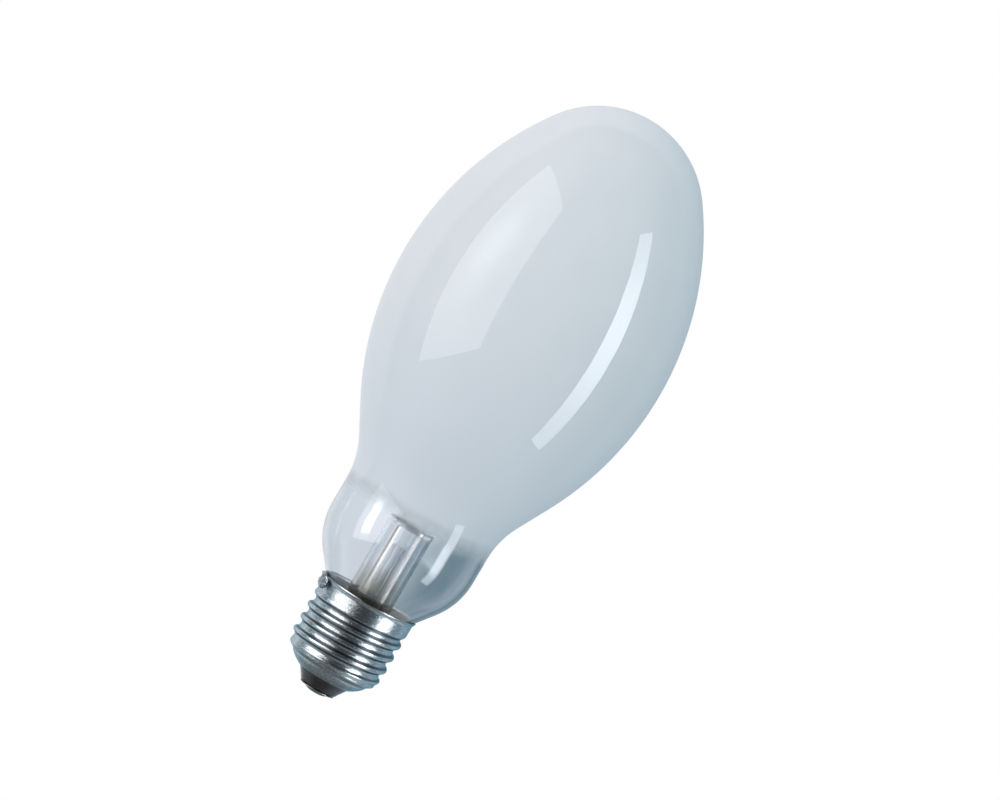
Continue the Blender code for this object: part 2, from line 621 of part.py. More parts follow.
def make_arc_tube():
    half = ARC_LENGTH / 2
    bore = FEED_RADIUS + GAP
    inner = ARC_RADIUS - ARC_WALL
    cavity = half - PLUG_THICK
    outline = [(bore, -half), (ARC_RADIUS, -half), (ARC_RADIUS, half), (bore, half), (bore, cavity),
               (inner, cavity), (inner, -cavity), (bore, -cavity)]
    add("arc_tube", turned("arc_tube", outline, STEM_SIDES, closed=True), alumina, BELLY_Z)

    inner_end = -half + FEED_DEPTH
    feed_bore = FEED_RADIUS - FEED_WALL
    feed = turned("feedthrough", [(feed_bore, -half - FEED_LENGTH), (FEED_RADIUS, -half - FEED_LENGTH),
                                  (FEED_RADIUS, inner_end), (feed_bore, inner_end)], FINE_SIDES, closed=True)
    coil = inner_end + 2 * GAP
    electrode = turned("electrode", [(0, inner_end - SHANK_LENGTH), (SHANK_RADIUS, inner_end - SHANK_LENGTH),
                                     (SHANK_RADIUS, coil), (COIL_RADIUS, coil + GAP),
                                     (COIL_RADIUS, coil + COIL_LENGTH - GAP), (SHANK_RADIUS, coil + COIL_LENGTH),
                                     (SHANK_RADIUS, coil + COIL_LENGTH + ELECTRODE_TIP),
                                     (0, coil + COIL_LENGTH + ELECTRODE_TIP + SHANK_RADIUS)], FINE_SIDES)
    seal_top = -half - GAP
    seal = turned("seal", [(bore, seal_top - SEAL_THICK), (SEAL_RADIUS, seal_top - SEAL_THICK),
                           (SEAL_RADIUS, seal_top), (bore, seal_top)], SMALL_SIDES, closed=True)
    band_in = ARC_RADIUS + GAP
    band_low = -half + BAND_INSET
    band = turned("heat_band", [(band_in, band_low), (band_in + BAND_THICK, band_low),
                                (band_in + BAND_THICK, band_low + BAND_LENGTH),
                                (band_in, band_low + BAND_LENGTH)], STEM_SIDES, closed=True)
    for end, flipped in (("lower", False), ("upper", True)):
        add(f"{end}_feedthrough", feed, niobium, BELLY_Z, flipped)
        add(f"{end}_electrode", electrode, tungsten, BELLY_Z, flipped)
        add(f"{end}_seal", seal, frit, BELLY_Z, flipped)
        add(f"{end}_heat_band", band, niobium, BELLY_Z, flipped)


def make_starting_wire():
    """Ignition wire: off the frame, then wound up the arc tube."""
    wound = ARC_RADIUS + GAP + STARTER_RADIUS
    start = FRAME_OFFSET - POST_RADIUS - GAP - STARTER_RADIUS
    low = BELLY_Z - ARC_LENGTH / 2 + STARTER_INSET
    rise = ARC_LENGTH - 2 * STARTER_INSET
    peel = HALF_TURN * 0.75
    route = []
    steps = STARTER_TURNS * 12
    total = STARTER_TURNS * 2 * math.pi
    for i in range(steps + 1):
        turn = total * i / steps
        radius = start + (wound - start) * smooth(turn / peel) ** 0.5
        route.append(polar(radius, turn, low + rise * turn / total))
    wire("starting_wire", route, STARTER_RADIUS, tungsten)


def make_getters():
    """Getter rings of channel section, facing the glass, each on its arm off the frame."""
    outer = GETTER_RADIUS + GETTER_CHANNEL / 2
    above_slant = POST_Z + FRAME_STRAIGHT + FRAME_SLANT + BEND
    hollow = GETTER_CHANNEL / 4
    section = [(-GETTER_CHANNEL / 2, 0), (GETTER_CHANNEL / 2, 0), (GETTER_CHANNEL / 2, GETTER_CHANNEL),
               (hollow, GETTER_CHANNEL), (hollow, hollow), (-hollow, hollow), (-hollow, GETTER_CHANNEL),
               (-GETTER_CHANNEL / 2, GETTER_CHANNEL)]
    places = ((1, -LEAD_SPACING / 2, -1, POST_Z + GETTER_LIFT), (2, FRAME_OFFSET, 1, above_slant))
    for number, post_x, facing, arm_z in places:
        first = post_x + facing * (POST_RADIUS + GAP)
        middle = post_x + facing * GETTER_REACH
        height = arm_z + GETTER_ARM_RADIUS + GAP + outer
        rings = []
        for i in range(SMALL_SIDES):
            turn = 2 * math.pi * i / SMALL_SIDES
            rings.append([(middle + facing * depth, (GETTER_RADIUS + r) * math.cos(turn),
                           height + (GETTER_RADIUS + r) * math.sin(turn)) for r, depth in section])
        add(f"getter_ring_{number}", lofted(f"getter_ring_{number}", rings, looped=True), nickel_foil)
        last = middle + facing * GETTER_CHANNEL
        wire(f"getter_arm_{number}", [(first, 0, arm_z), (last, 0, arm_z)], GETTER_ARM_RADIUS, steel)


for old in list(bpy.data.objects):
    bpy.data.objects.remove(old, do_unlink=True)

lamp = bpy.data.objects.new("lamp", None)
bpy.context.collection.objects.link(lamp)

coated_glass = material("coated_glass", (0.80, 0.84, 0.87), 0.2)
clear_glass = material("clear_glass", (0.90, 0.93, 0.95), 0.03, transmission=1.0)
black_glass = material("black_glass", (0.012, 0.011, 0.011), 0.12)
nickel = material("nickel", (0.62, 0.66, 0.70), 0.22, metallic=1.0)
brass = material("brass", (0.62, 0.50, 0.28), 0.3, metallic=1.0)
solder = material("solder", (0.60, 0.61, 0.62), 0.35, metallic=1.0)
cement = material("cement", (0.23, 0.22, 0.18), 0.9)
copper = material("copper", (0.66, 0.42, 0.28), 0.3, metallic=1.0)
steel = material("steel", (0.55, 0.56, 0.57), 0.3, metallic=1.0)
nickel_foil = material("nickel_foil", (0.60, 0.60, 0.58), 0.35, metallic=1.0)
alumina = material("alumina", (0.85, 0.85, 0.82), 0.4)
niobium = material("niobium", (0.42, 0.42, 0.44), 0.35, metallic=1.0)
tungsten = material("tungsten", (0.30, 0.30, 0.32), 0.45, metallic=1.0)
frit = material("frit", (0.75, 0.72, 0.62), 0.6)

make_cap_shell()
make_insulator()
make_contact()
make_cement()
make_bulb()
make_stem()
make_exhaust_tube()
make_leads()
make_rim_solder()
make_frame()
make_arc_tube()
make_starting_wire()
make_getters()
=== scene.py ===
import math

import bmesh
import bpy
from mathutils import Matrix, Vector, noise


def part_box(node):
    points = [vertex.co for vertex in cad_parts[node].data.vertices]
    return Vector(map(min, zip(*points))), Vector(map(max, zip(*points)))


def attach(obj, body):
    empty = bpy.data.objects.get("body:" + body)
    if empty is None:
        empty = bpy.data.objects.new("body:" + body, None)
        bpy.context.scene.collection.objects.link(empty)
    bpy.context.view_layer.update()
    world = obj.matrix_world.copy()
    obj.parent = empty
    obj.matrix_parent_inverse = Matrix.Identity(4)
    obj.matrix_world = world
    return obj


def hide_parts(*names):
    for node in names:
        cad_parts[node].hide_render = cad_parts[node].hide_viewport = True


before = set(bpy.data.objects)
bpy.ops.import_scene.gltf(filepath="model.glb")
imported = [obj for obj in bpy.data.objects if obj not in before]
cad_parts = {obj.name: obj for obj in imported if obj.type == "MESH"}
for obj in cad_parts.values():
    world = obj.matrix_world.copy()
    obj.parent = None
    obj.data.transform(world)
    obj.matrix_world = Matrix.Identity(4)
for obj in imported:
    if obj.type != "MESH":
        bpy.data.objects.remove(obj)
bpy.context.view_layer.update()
scene = bpy.context.scene

mm = 0.001
quarterTurn = math.pi / 2
halfTurn = math.pi
fullTurn = 2 * math.pi
gap = 0.3 * mm  # between two pieces that touch in the lamp, as the solids have it
samePlace = 0.002 * mm  # points nearer than this count as one

# Heights and radii of the lamp's solids, which every piece below is built on
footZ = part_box("cap_shell")[0].z
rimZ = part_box("cap_shell")[1].z
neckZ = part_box("outer_bulb")[0].z
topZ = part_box("outer_bulb")[1].z
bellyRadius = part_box("outer_bulb")[1].x
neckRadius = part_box("stem_glass")[1].x
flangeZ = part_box("stem_glass")[0].z
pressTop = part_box("stem_glass")[1].z


# Mesh helpers. An outline is a list of points, each a radius and a height

def smoothStep(value):
    value = min(max(value, 0.0), 1.0)
    return value * value * (3 - 2 * value)


def arcPoints(centre, radius, start, end, spacing):
    steps = max(2, round(abs(radius * (end - start)) / spacing))
    turn = (end - start) / steps
    return [(centre[0] + radius * math.cos(start + turn * i), centre[1] + radius * math.sin(start + turn * i))
            for i in range(steps + 1)]


def linePoints(start, end, spacing):
    steps = max(1, round(math.dist(start, end) / spacing))
    return [tuple(a + (b - a) * i / steps for a, b in zip(start, end)) for i in range(steps + 1)]


def joinedOutline(*stretches):
    points = []
    for stretch in stretches:
        points += [p for p in stretch if not points or math.dist(p, points[-1]) > samePlace]
    return points


def movedOutline(outline, distance):  # to its left, square to itself at each point
    moved = []
    for i, (r, z) in enumerate(outline):
        before = outline[max(i - 1, 0)]
        after = outline[min(i + 1, len(outline) - 1)]
        along = Vector((after[0] - before[0], after[1] - before[1])).normalized()
        moved.append((r - along.y * distance, z + along.x * distance))
    return moved


def radiusAt(outline, height):
    for (r0, z0), (r1, z1) in zip(outline, outline[1:]):
        if z0 <= height <= z1 and z1 > z0:
            return r0 + (r1 - r0) * (height - z0) / (z1 - z0)
    return outline[-1][0]


def polar(radius, azimuth, z):
    return Vector((radius * math.cos(azimuth), radius * math.sin(azimuth), z))


def linkedMesh(bm, name):
    mesh = bpy.data.meshes.new(name)
    bm.to_mesh(mesh)
    bm.free()
    made = bpy.data.objects.new(name, mesh)
    scene.collection.objects.link(made)
    return made


def shadeSmooth(mesh, crease):  # crease in degrees
    mesh.shade_smooth()
    mesh.set_sharp_from_angle(angle=math.radians(crease))


def meshPiece(bm, name, crease):
    bmesh.ops.recalc_face_normals(bm, faces=bm.faces)
    piece = linkedMesh(bm, name)
    shadeSmooth(piece.data, crease)
    return piece


def joinRings(bm, low, high):  # a ring of one vertex is a pole on the axis
    if len(low) == 1 and len(high) == 1:
        return
    count = max(len(low), len(high))
    for i in range(count):
        follow = (i + 1) % count
        corners = [low[i % len(low)], low[follow % len(low)], high[follow % len(high)], high[i % len(high)]]
        bm.faces.new(list(dict.fromkeys(corners)))


def turnedPiece(name, outline, sides, looped=False, crease=40):
    bm = bmesh.new()
    rings = []
    for r, z in outline:
        count = 1 if r < samePlace else sides
        rings.append([bm.verts.new(polar(r, fullTurn * i / sides, z)) for i in range(count)])
    for low, high in zip(rings, rings[1:] + (rings[:1] if looped else [])):
        joinRings(bm, low, high)
    return meshPiece(bm, name, crease)


def loftedPiece(name, rings, crease=40):
    bm = bmesh.new()
    loops = [[bm.verts.new(point) for point in ring] for ring in rings]
    for low, high in zip(loops, loops[1:]):
        joinRings(bm, low, high)
    bm.faces.new(loops[0])
    bm.faces.new(loops[-1])
    return meshPiece(bm, name, crease)


def bentRoute(corners, radius):
    # A straight route with each corner bent to the same radius
    steps = 8
    corners = [Vector(corner) for corner in corners]
    route = [corners[0]]
    for before, corner, after in zip(corners, corners[1:], corners[2:]):
        back = (before - corner).normalized()
        ahead = (after - corner).normalized()
        half = back.angle(ahead) / 2
        reach = radius / math.tan(half)
        centre = corner + (back + ahead).normalized() * (radius / math.sin(half))
        first = corner + back * reach - centre
        last = corner + ahead * reach - centre
        route += [centre + first.slerp(last, i / steps).normalized() * radius for i in range(steps + 1)]
    return route + [corners[-1]]


def wirePiece(name, route, radius, sides):
    rings = []
    side = (route[1] - route[0]).orthogonal().normalized()
    for i, point in enumerate(route):
        along = (route[min(i + 1, len(route) - 1)] - route[max(i - 1, 0)]).normalized()
        side = (side - along * side.dot(along)).normalized()
        other = along.cross(side)
        rings.append([point + (side * math.cos(turn) + other * math.sin(turn)) * radius
                      for turn in (fullTurn * k / sides for k in range(sides))])
    return loftedPiece(name, rings, crease=50)


def evaluate(piece):
    # Its modifiers evaluated once and turned to a plain mesh
    applied = bpy.data.meshes.new_from_object(piece.evaluated_get(bpy.context.evaluated_depsgraph_get()))
    piece.modifiers.clear()
    old, piece.data = piece.data, applied
    bpy.data.meshes.remove(old)
    applied.name = piece.name


def keep(piece, material, slotName, *nodes):
    piece.data.materials.clear()
    piece.data.materials.append(material)
    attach(piece, "root")
    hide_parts(*nodes)


# Node helpers

def feed(tree, socket, value):
    if isinstance(value, bpy.types.NodeSocket):
        tree.links.new(value, socket)
    else:
        socket.default_value = (*value, 1) if socket.type == "RGBA" else value


def feedAll(tree, node, **inputs):
    # By name, with underscores for spaces, or by place as s0, s1 and so on
    for name, value in inputs.items():
        byPlace = name[0] == "s" and name[1:].isdigit()
        feed(tree, node.inputs[int(name[1:]) if byPlace else name.replace("_", " ")], value)


def put(tree, kind, **inputs):
    node = tree.nodes.new(kind)
    feedAll(tree, node, **inputs)
    return node


def mathNode(tree, operation, a, b=0.0):
    node = put(tree, "ShaderNodeMath", s0=a, s1=b)
    node.operation = operation
    return node.outputs[0]


def sumsOf(tree):
    # The four sums of one tree, under short names
    def sumNode(operation):
        return lambda a, b: mathNode(tree, operation, a, b)
    return [sumNode(operation) for operation in ("ADD", "SUBTRACT", "MULTIPLY", "DIVIDE")]


def lengthOf(tree, a, b):
    # Length of a step that goes a one way and b square to it
    add, _, multiply, _ = sumsOf(tree)
    return mathNode(tree, "SQRT", add(multiply(a, a), multiply(b, b)))


def ramp(tree, value, fromMin, fromMax, toMin=0.0, toMax=1.0, soft=True):
    node = put(tree, "ShaderNodeMapRange", Value=value, From_Min=fromMin, From_Max=fromMax,
               To_Min=toMin, To_Max=toMax)
    node.interpolation_type = "SMOOTHSTEP" if soft else "LINEAR"
    return node.outputs[0]


def blendValues(tree, factor, first, second):
    return put(tree, "ShaderNodeMix", s0=factor, s2=first, s3=second).outputs[0]


def blendColours(tree, factor, first, second):
    node = put(tree, "ShaderNodeMix", s0=factor, s6=first, s7=second)
    node.data_type = "RGBA"
    return node.outputs[2]


def noiseOf(tree, vector, scale, detail, roughness=0.5):
    return put(tree, "ShaderNodeTexNoise", Vector=vector, Scale=scale, Detail=detail,
               Roughness=roughness).outputs[0]


def centred(tree, cloud, reach):
    # Noise spread evenly about nought
    return mathNode(tree, "MULTIPLY", mathNode(tree, "SUBTRACT", cloud, 0.5), reach)


def objectPoint(tree, stretch=(1, 1, 1)):
    point = tree.nodes.new("ShaderNodeTexCoord").outputs["Object"]
    return put(tree, "ShaderNodeMapping", Vector=point, Scale=stretch).outputs[0]


def partsOf(tree, vector):
    return put(tree, "ShaderNodeSeparateXYZ", Vector=vector).outputs


def vectorNode(tree, operation, a, b):
    node = put(tree, "ShaderNodeVectorMath", s0=a, s1=b)
    node.operation = operation
    return node.outputs["Value"]


def bumped(tree, shader, height, strength, distance):
    node = put(tree, "ShaderNodeBump", Height=height, Strength=strength, Distance=distance)
    tree.links.new(node.outputs[0], shader.inputs["Normal"])


def newMaterial(name):
    material = bpy.data.materials.new(name)
    material.use_nodes = True
    return material, material.node_tree, material.node_tree.nodes["Principled BSDF"]


def newTree(name, kind, inputs, outputs):
    tree = bpy.data.node_groups.new(name, kind)
    for direction, sockets in (("INPUT", inputs), ("OUTPUT", outputs)):
        for socket, form in sockets.items():
            tree.interface.new_socket(socket, in_out=direction, socket_type="NodeSocket" + form)
    return tree, tree.nodes.new("NodeGroupInput").outputs, tree.nodes.new("NodeGroupOutput").inputs


# Finishes. Colours are linear

grainLook = dict(patchDetail=4, speckDetail=2, speckRoughness=0.6, maskSpan=(0.36, 0.66))


def makeGrainGroup(look):
    # Fine specks over broader patches: the grain of plated sheet, solder, glaze and cement
    scales = dict.fromkeys(("Patch Scale", "Speck Scale", "Speck Share"), "Float")
    group, given, out = newTree("Grain", "ShaderNodeTree", {"Vector": "Vector", **scales},
                                {"Mask": "Float", "Height": "Float"})
    point = given["Vector"]
    patches = noiseOf(group, point, given["Patch Scale"], look["patchDetail"])
    specks = noiseOf(group, point, given["Speck Scale"], look["speckDetail"], look["speckRoughness"])
    both = blendValues(group, given["Speck Share"], patches, specks)
    group.links.new(ramp(group, both, *look["maskSpan"]), out["Mask"])
    group.links.new(both, out["Height"])
    return group


grain = makeGrainGroup(grainLook)
plainGrain = dict(stretch=(1, 1, 1), speckShare=0.5, metal=0.0, ior=1.5, coat=0.0, coatRough=0.03,
                  edgeTint=(1, 1, 1))


def grainedMaterial(name, changes):
    # One finish made of two tones, with its roughness and relief following the same grain
    look = {**plainGrain, **changes}
    material, tree, shader = newMaterial(name)
    speckle = tree.nodes.new("ShaderNodeGroup")
    speckle.node_tree = grain
    feedAll(tree, speckle, Vector=objectPoint(tree, look["stretch"]), Patch_Scale=look["patches"],
            Speck_Scale=look["specks"], Speck_Share=look["speckShare"])
    mask = speckle.outputs["Mask"]
    feedAll(tree, shader, Base_Color=blendColours(tree, mask, look["dark"], look["light"]),
            Roughness=ramp(tree, mask, 0.0, 1.0, *look["rough"], soft=False), Metallic=look["metal"],
            IOR=look["ior"], Coat_Weight=look["coat"], Coat_Roughness=look["coatRough"],
            Specular_Tint=look["edgeTint"])
    bumped(tree, shader, speckle.outputs["Height"], look["relief"], look["reliefDepth"])
    return material


finishes = {
    # Nickel's edge tint gives its grazing reflections a painted blue-grey cast
    "nickelPlate": dict(dark=(0.44, 0.46, 0.47), light=(0.92, 0.94, 0.95), rough=(0.26, 0.13), metal=1.0,
                        patches=260.0, specks=3600.0, speckShare=0.94, relief=0.8, reliefDepth=0.08 * mm,
                        edgeTint=(0.45, 0.66, 0.76)),
    "blackGlaze": dict(dark=(0.010, 0.008, 0.008), light=(0.028, 0.024, 0.022), rough=(0.14, 0.08),
                       patches=300.0, specks=2200.0, relief=0.25, reliefDepth=0.04 * mm, coat=0.4),
    "castSolder": dict(dark=(0.22, 0.25, 0.27), light=(0.50, 0.55, 0.59), rough=(0.36, 0.22), metal=1.0,
                       patches=700.0, specks=2600.0, relief=0.6, reliefDepth=0.10 * mm),
    "tinnedBrass": dict(dark=(0.36, 0.35, 0.31), light=(0.62, 0.61, 0.56), rough=(0.42, 0.25), metal=1.0,
                        patches=350.0, specks=2400.0, relief=0.3, reliefDepth=0.03 * mm),
    "bakedCement": dict(dark=(0.10, 0.095, 0.065), light=(0.34, 0.33, 0.25), rough=(0.95, 0.75),
                        patches=420.0, specks=3500.0, relief=0.9, reliefDepth=0.25 * mm),
    "copperWire": dict(dark=(0.20, 0.13, 0.10), light=(0.40, 0.27, 0.21), rough=(0.42, 0.26), metal=1.0,
                       patches=500.0, specks=2600.0, relief=0.2, reliefDepth=0.02 * mm),
    "drawnSteel": dict(dark=(0.28, 0.29, 0.30), light=(0.50, 0.51, 0.53), rough=(0.36, 0.22), metal=1.0,
                       patches=1500.0, specks=3000.0, stretch=(1, 1, 0.08), relief=0.25,
                       reliefDepth=0.02 * mm),
    "nickelStrip": dict(dark=(0.34, 0.34, 0.33), light=(0.55, 0.55, 0.53), rough=(0.40, 0.26), metal=1.0,
                        patches=600.0, specks=2800.0, relief=0.25, reliefDepth=0.02 * mm),
    "sinteredAlumina": dict(dark=(0.66, 0.66, 0.62), light=(0.80, 0.80, 0.76), rough=(0.48, 0.34),
                            patches=250.0, specks=5000.0, relief=0.15, reliefDepth=0.02 * mm),
    "niobiumTube": dict(dark=(0.16, 0.16, 0.17), light=(0.28, 0.28, 0.30), rough=(0.45, 0.30), metal=1.0,
                        patches=700.0, specks=3200.0, relief=0.3, reliefDepth=0.02 * mm),
    "tungstenWire": dict(dark=(0.06, 0.06, 0.065), light=(0.14, 0.14, 0.15), rough=(0.52, 0.36), metal=1.0,
                         patches=900.0, specks=3600.0, relief=0.3, reliefDepth=0.02 * mm),
    "sealFrit": dict(dark=(0.40, 0.36, 0.26), light=(0.58, 0.54, 0.42), rough=(0.70, 0.50),
                     patches=800.0, specks=3600.0, relief=0.5, reliefDepth=0.06 * mm),
}
materials = {name: grainedMaterial(name, look) for name, look in finishes.items()}
print("metal, glaze and cement finishes made")

clearGlass = dict(colour=(0.97, 0.98, 0.99), passed=(0.96, 0.97, 0.98), ior=1.5, coat=0.0, coatIor=1.7)


def makeGlass(name, **changes):
    # Rays from lamps and from matt surfaces pass straight through the glass, so it throws no dark shadow
    look = {**clearGlass, **changes}
    material, tree, shader = newMaterial(name)
    colour = look["colour"]
    if "stain" in look:  # painted shade: the foot of the stem is tinted browner and darker, standing in for the dark cement and cap seen through it
        unmarked = ramp(tree, partsOf(tree, objectPoint(tree))["Z"], *look["stainSpan"])
        colour = blendColours(tree, unmarked, look["stain"], colour)
    feedAll(tree, shader, Base_Color=colour, Roughness=0.0, IOR=look["ior"], Transmission_Weight=1.0,
            Specular_IOR_Level=look["gloss"], Coat_Weight=look["coat"], Coat_IOR=look["coatIor"],
            Coat_Roughness=0.0)
    waves = noiseOf(tree, objectPoint(tree, look["stretch"]), look["waves"], 2)
    bumped(tree, shader, waves, look["relief"], look["reliefDepth"])
    path = tree.nodes.new("ShaderNodeLightPath").outputs
    passing = mathNode(tree, "MAXIMUM", path["Is Shadow Ray"], path["Is Diffuse Ray"])
    clear = put(tree, "ShaderNodeBsdfTransparent", Color=look["passed"])
    mixed = put(tree, "ShaderNodeMixShader", s0=passing, s1=shader.outputs[0], s2=clear.outputs[0])
    tree.links.new(mixed.outputs[0], tree.nodes["Material Output"].inputs["Surface"])
    return material


bulbGlass = makeGlass("bulbGlass", stretch=(1, 1, 0.6), waves=45.0, relief=0.012, reliefDepth=0.6 * mm,
                      gloss=0.5)
# Painted shade at the stem's foot: its glass is tinted browner and darker there
stemGlass = makeGlass("stemGlass", stretch=(1, 1, 0.15), waves=260.0, relief=0.08, reliefDepth=0.4 * mm,
                      gloss=0.8, coat=0.5, stain=(0.60, 0.58, 0.50), stainSpan=(27.0 * mm, 39.0 * mm))

powderLook = dict(colour=(0.715, 0.735, 0.757), thin=(0.690, 0.716, 0.742), low=(0.665, 0.700, 0.735),
                  lowSpan=(68.0 * mm, 112.0 * mm), fadeSpan=(49.8 * mm, 56.5 * mm), fadeNoise=5.0 * mm,
                  patches=70.0, specks=2400.0, speckShare=0.3, toneSpan=(0.3, 0.7), rough=0.95, gloss=0.1,
                  relief=0.15, reliefDepth=0.05 * mm)


def makePowder(look):
    # White powder settled inside the glass, ending in a soft edge above the clear neck
    material, tree, shader = newMaterial("whitePowder")
    point = objectPoint(tree)
    height = partsOf(tree, point)["Z"]
    patches = noiseOf(tree, point, look["patches"], 3)
    specks = noiseOf(tree, point, look["specks"], 2)
    tone = ramp(tree, blendValues(tree, look["speckShare"], patches, specks), *look["toneSpan"])
    colour = blendColours(tree, tone, look["thin"], look["colour"])
    colour = blendColours(tree, ramp(tree, height, *look["lowSpan"]), look["low"], colour)
    edge = mathNode(tree, "ADD", height, centred(tree, patches, look["fadeNoise"]))
    feedAll(tree, shader, Base_Color=colour, Roughness=look["rough"], Specular_IOR_Level=look["gloss"],
            Alpha=ramp(tree, edge, *look["fadeSpan"]))
    bumped(tree, shader, specks, look["relief"], look["reliefDepth"])
    return material


whitePowder = makePowder(powderLook)
print("glass and powder coating made")


# Outer bulb

bulb = dict(sides=176, rowSpacing=1.5 * mm, wall=1.0 * mm, flareDrop=5.05 * mm, neckFillet=5.0 * mm,
            coneAngle=math.radians(37), bulge=19.4 * mm, throat=20.8 * mm, throatLength=7.35 * mm,
            waist=22.6 * mm, slopeLength=9.35 * mm, shoulderHeight=57.8 * mm, domeHeight=59.7 * mm,
            tip=26.8 * mm, coatingDepth=0.9 * mm, coatingThick=0.06 * mm, coatingLow=47.0 * mm)

bellyZ = topZ - bulb["domeHeight"]
waistZ = bellyZ - bulb["shoulderHeight"]
throatZ = waistZ - bulb["throatLength"]
flareZ = rimZ - bulb["flareDrop"]
slopeAngle = 2 * math.atan((bellyRadius - bulb["throat"]) / (bulb["shoulderHeight"] + bulb["slopeLength"]))
slopeRise = bulb["slopeLength"] * math.cos(slopeAngle)
shoulderRadius = (bulb["shoulderHeight"] - slopeRise) / math.sin(slopeAngle) - bulb["waist"]
crownRadius = ((bellyRadius ** 2 + bulb["domeHeight"] ** 2 - 2 * bulb["domeHeight"] * bulb["tip"])
               / (2 * (bellyRadius - bulb["tip"])))
crownAngle = math.atan2(bulb["domeHeight"] - bulb["tip"], crownRadius - bellyRadius)


def bulbOutline(inwards, spacing=bulb["rowSpacing"]):
    # From the foot of the neck to the tip, with its rows closer together where it turns sharply
    cone, fillet, bulge, throat, waist, tip = (
        bulb[key] for key in ("coneAngle", "neckFillet", "bulge", "throat", "waist", "tip"))
    waistArc = arcPoints((throat + waist, waistZ), waist + inwards, halfTurn, halfTurn - slopeAngle, spacing)
    shoulderArc = arcPoints((bellyRadius - shoulderRadius, bellyZ), shoulderRadius - inwards, -slopeAngle, 0,
                            spacing)
    return joinedOutline(
        linePoints((neckRadius - inwards, neckZ), (neckRadius - inwards, flareZ), spacing * 2),
        arcPoints((neckRadius + fillet, flareZ), fillet + inwards, halfTurn, halfTurn - cone, spacing / 3),
        arcPoints((throat - bulge, throatZ), bulge - inwards, -cone, 0, spacing / 1.5),
        linePoints((throat - inwards, throatZ), (throat - inwards, waistZ), spacing),
        waistArc, linePoints(waistArc[-1], shoulderArc[0], spacing), shoulderArc,
        arcPoints((bellyRadius - crownRadius, bellyZ), crownRadius - inwards, 0, crownAngle, spacing),
        arcPoints((0, topZ - tip), tip - inwards, crownAngle, quarterTurn, spacing)[:-1],
        [(0, topZ - inwards)])


def makeBulb():
    glass = turnedPiece("bulbGlass", bulbOutline(bulb["wall"])[::-1] + bulbOutline(0), bulb["sides"])
    keep(glass, bulbGlass, "coated_glass", "outer_bulb")
    layers = []
    for depth in (bulb["coatingDepth"], bulb["coatingDepth"] + bulb["coatingThick"]):
        outline = bulbOutline(depth)  # held in the skin of the glass, which has no second reflection there
        layers.append([p for p in outline if p[1] > bulb["coatingLow"]])
    coating = turnedPiece("bulbCoating", layers[1][::-1] + layers[0], bulb["sides"])
    keep(coating, whitePowder, "coated_glass", "outer_bulb")


makeBulb()
print("outer bulb and its coating made")


# Screw cap

cap = dict(sides=192, sheet=0.3 * mm, footRadius=7.7 * mm, dishCorner=(9.9 * mm, 1.25 * mm),
           dishEdge=(10.7 * mm, 2.45 * mm), dishHeight=4.0 * mm, dishRadius=12.35 * mm,
           threadLength=15.6 * mm, crestDiameter=26.4 * mm, threadDepth=1.15 * mm, pitch=3.629 * mm,
           runOut=2.2 * mm, phase=3.2 * mm, crestShare=0.4, collarStep=0.15 * mm, rimFlare=0.5 * mm,
           rimFlareLength=1.1 * mm, rimFlareCurve=1.6, lipShares=(0.3, 0.6), rowSpacing=0.15 * mm, crease=50,
           notchAzimuth=math.radians(195), notchWidth=1.3 * mm, notchDepth=2.8 * mm, notchMargin=1.0 * mm,
           seam=0.06 * mm)
threadZ = footZ + cap["dishHeight"]
collarZ = threadZ + cap["threadLength"]
crestRadius = cap["crestDiameter"] / 2
collarRadius = crestRadius - cap["collarStep"]
rimRadius = collarRadius + cap["rimFlare"]
insideRoots = crestRadius - cap["threadDepth"] - cap["sheet"]


def plainShellOutline():
    # Outside of the shell before its thread is rolled
    foot = (cap["footRadius"], footZ)
    corner = (cap["dishCorner"][0], footZ + cap["dishCorner"][1])
    edge = (cap["dishEdge"][0], footZ + cap["dishEdge"][1])
    dishSteps, shoulderSteps, flareSteps = 14, 10, 8
    dish = []
    for i in range(dishSteps):
        t = i / dishSteps
        dish.append(tuple((1 - t) ** 2 * a + 2 * t * (1 - t) * b + t * t * c
                          for a, b, c in zip(foot, corner, edge)))
    for i in range(shoulderSteps):
        t = i / shoulderSteps
        dish.append((edge[0] + (cap["dishRadius"] - edge[0]) * smoothStep(t),
                     edge[1] + (threadZ - edge[1]) * t))
    rows = round(cap["threadLength"] / cap["rowSpacing"])
    wall = []
    for i in range(rows + 1):
        share = smoothStep(i / rows * 3 - 1)  # the wall widens over the middle third of the thread
        wall.append((cap["dishRadius"] + (collarRadius - cap["dishRadius"]) * share,
                     threadZ + cap["threadLength"] * i / rows))
    flare = [(collarRadius + cap["rimFlare"] * (i / flareSteps) ** cap["rimFlareCurve"],
              rimZ - cap["rimFlareLength"] * (1 - i / flareSteps)) for i in range(flareSteps + 1)]
    return joinedOutline(dish, wall, linePoints(wall[-1], flare[0], cap["rowSpacing"] * 2), flare)


def arcHeight(tree, radius, offset):
    # How far a round arc stands over its centre, to one side of its top
    _, subtract, multiply, _ = sumsOf(tree)
    square = subtract(multiply(radius, radius), multiply(offset, offset))
    return mathNode(tree, "SQRT", mathNode(tree, "MAXIMUM", square, 0.0))


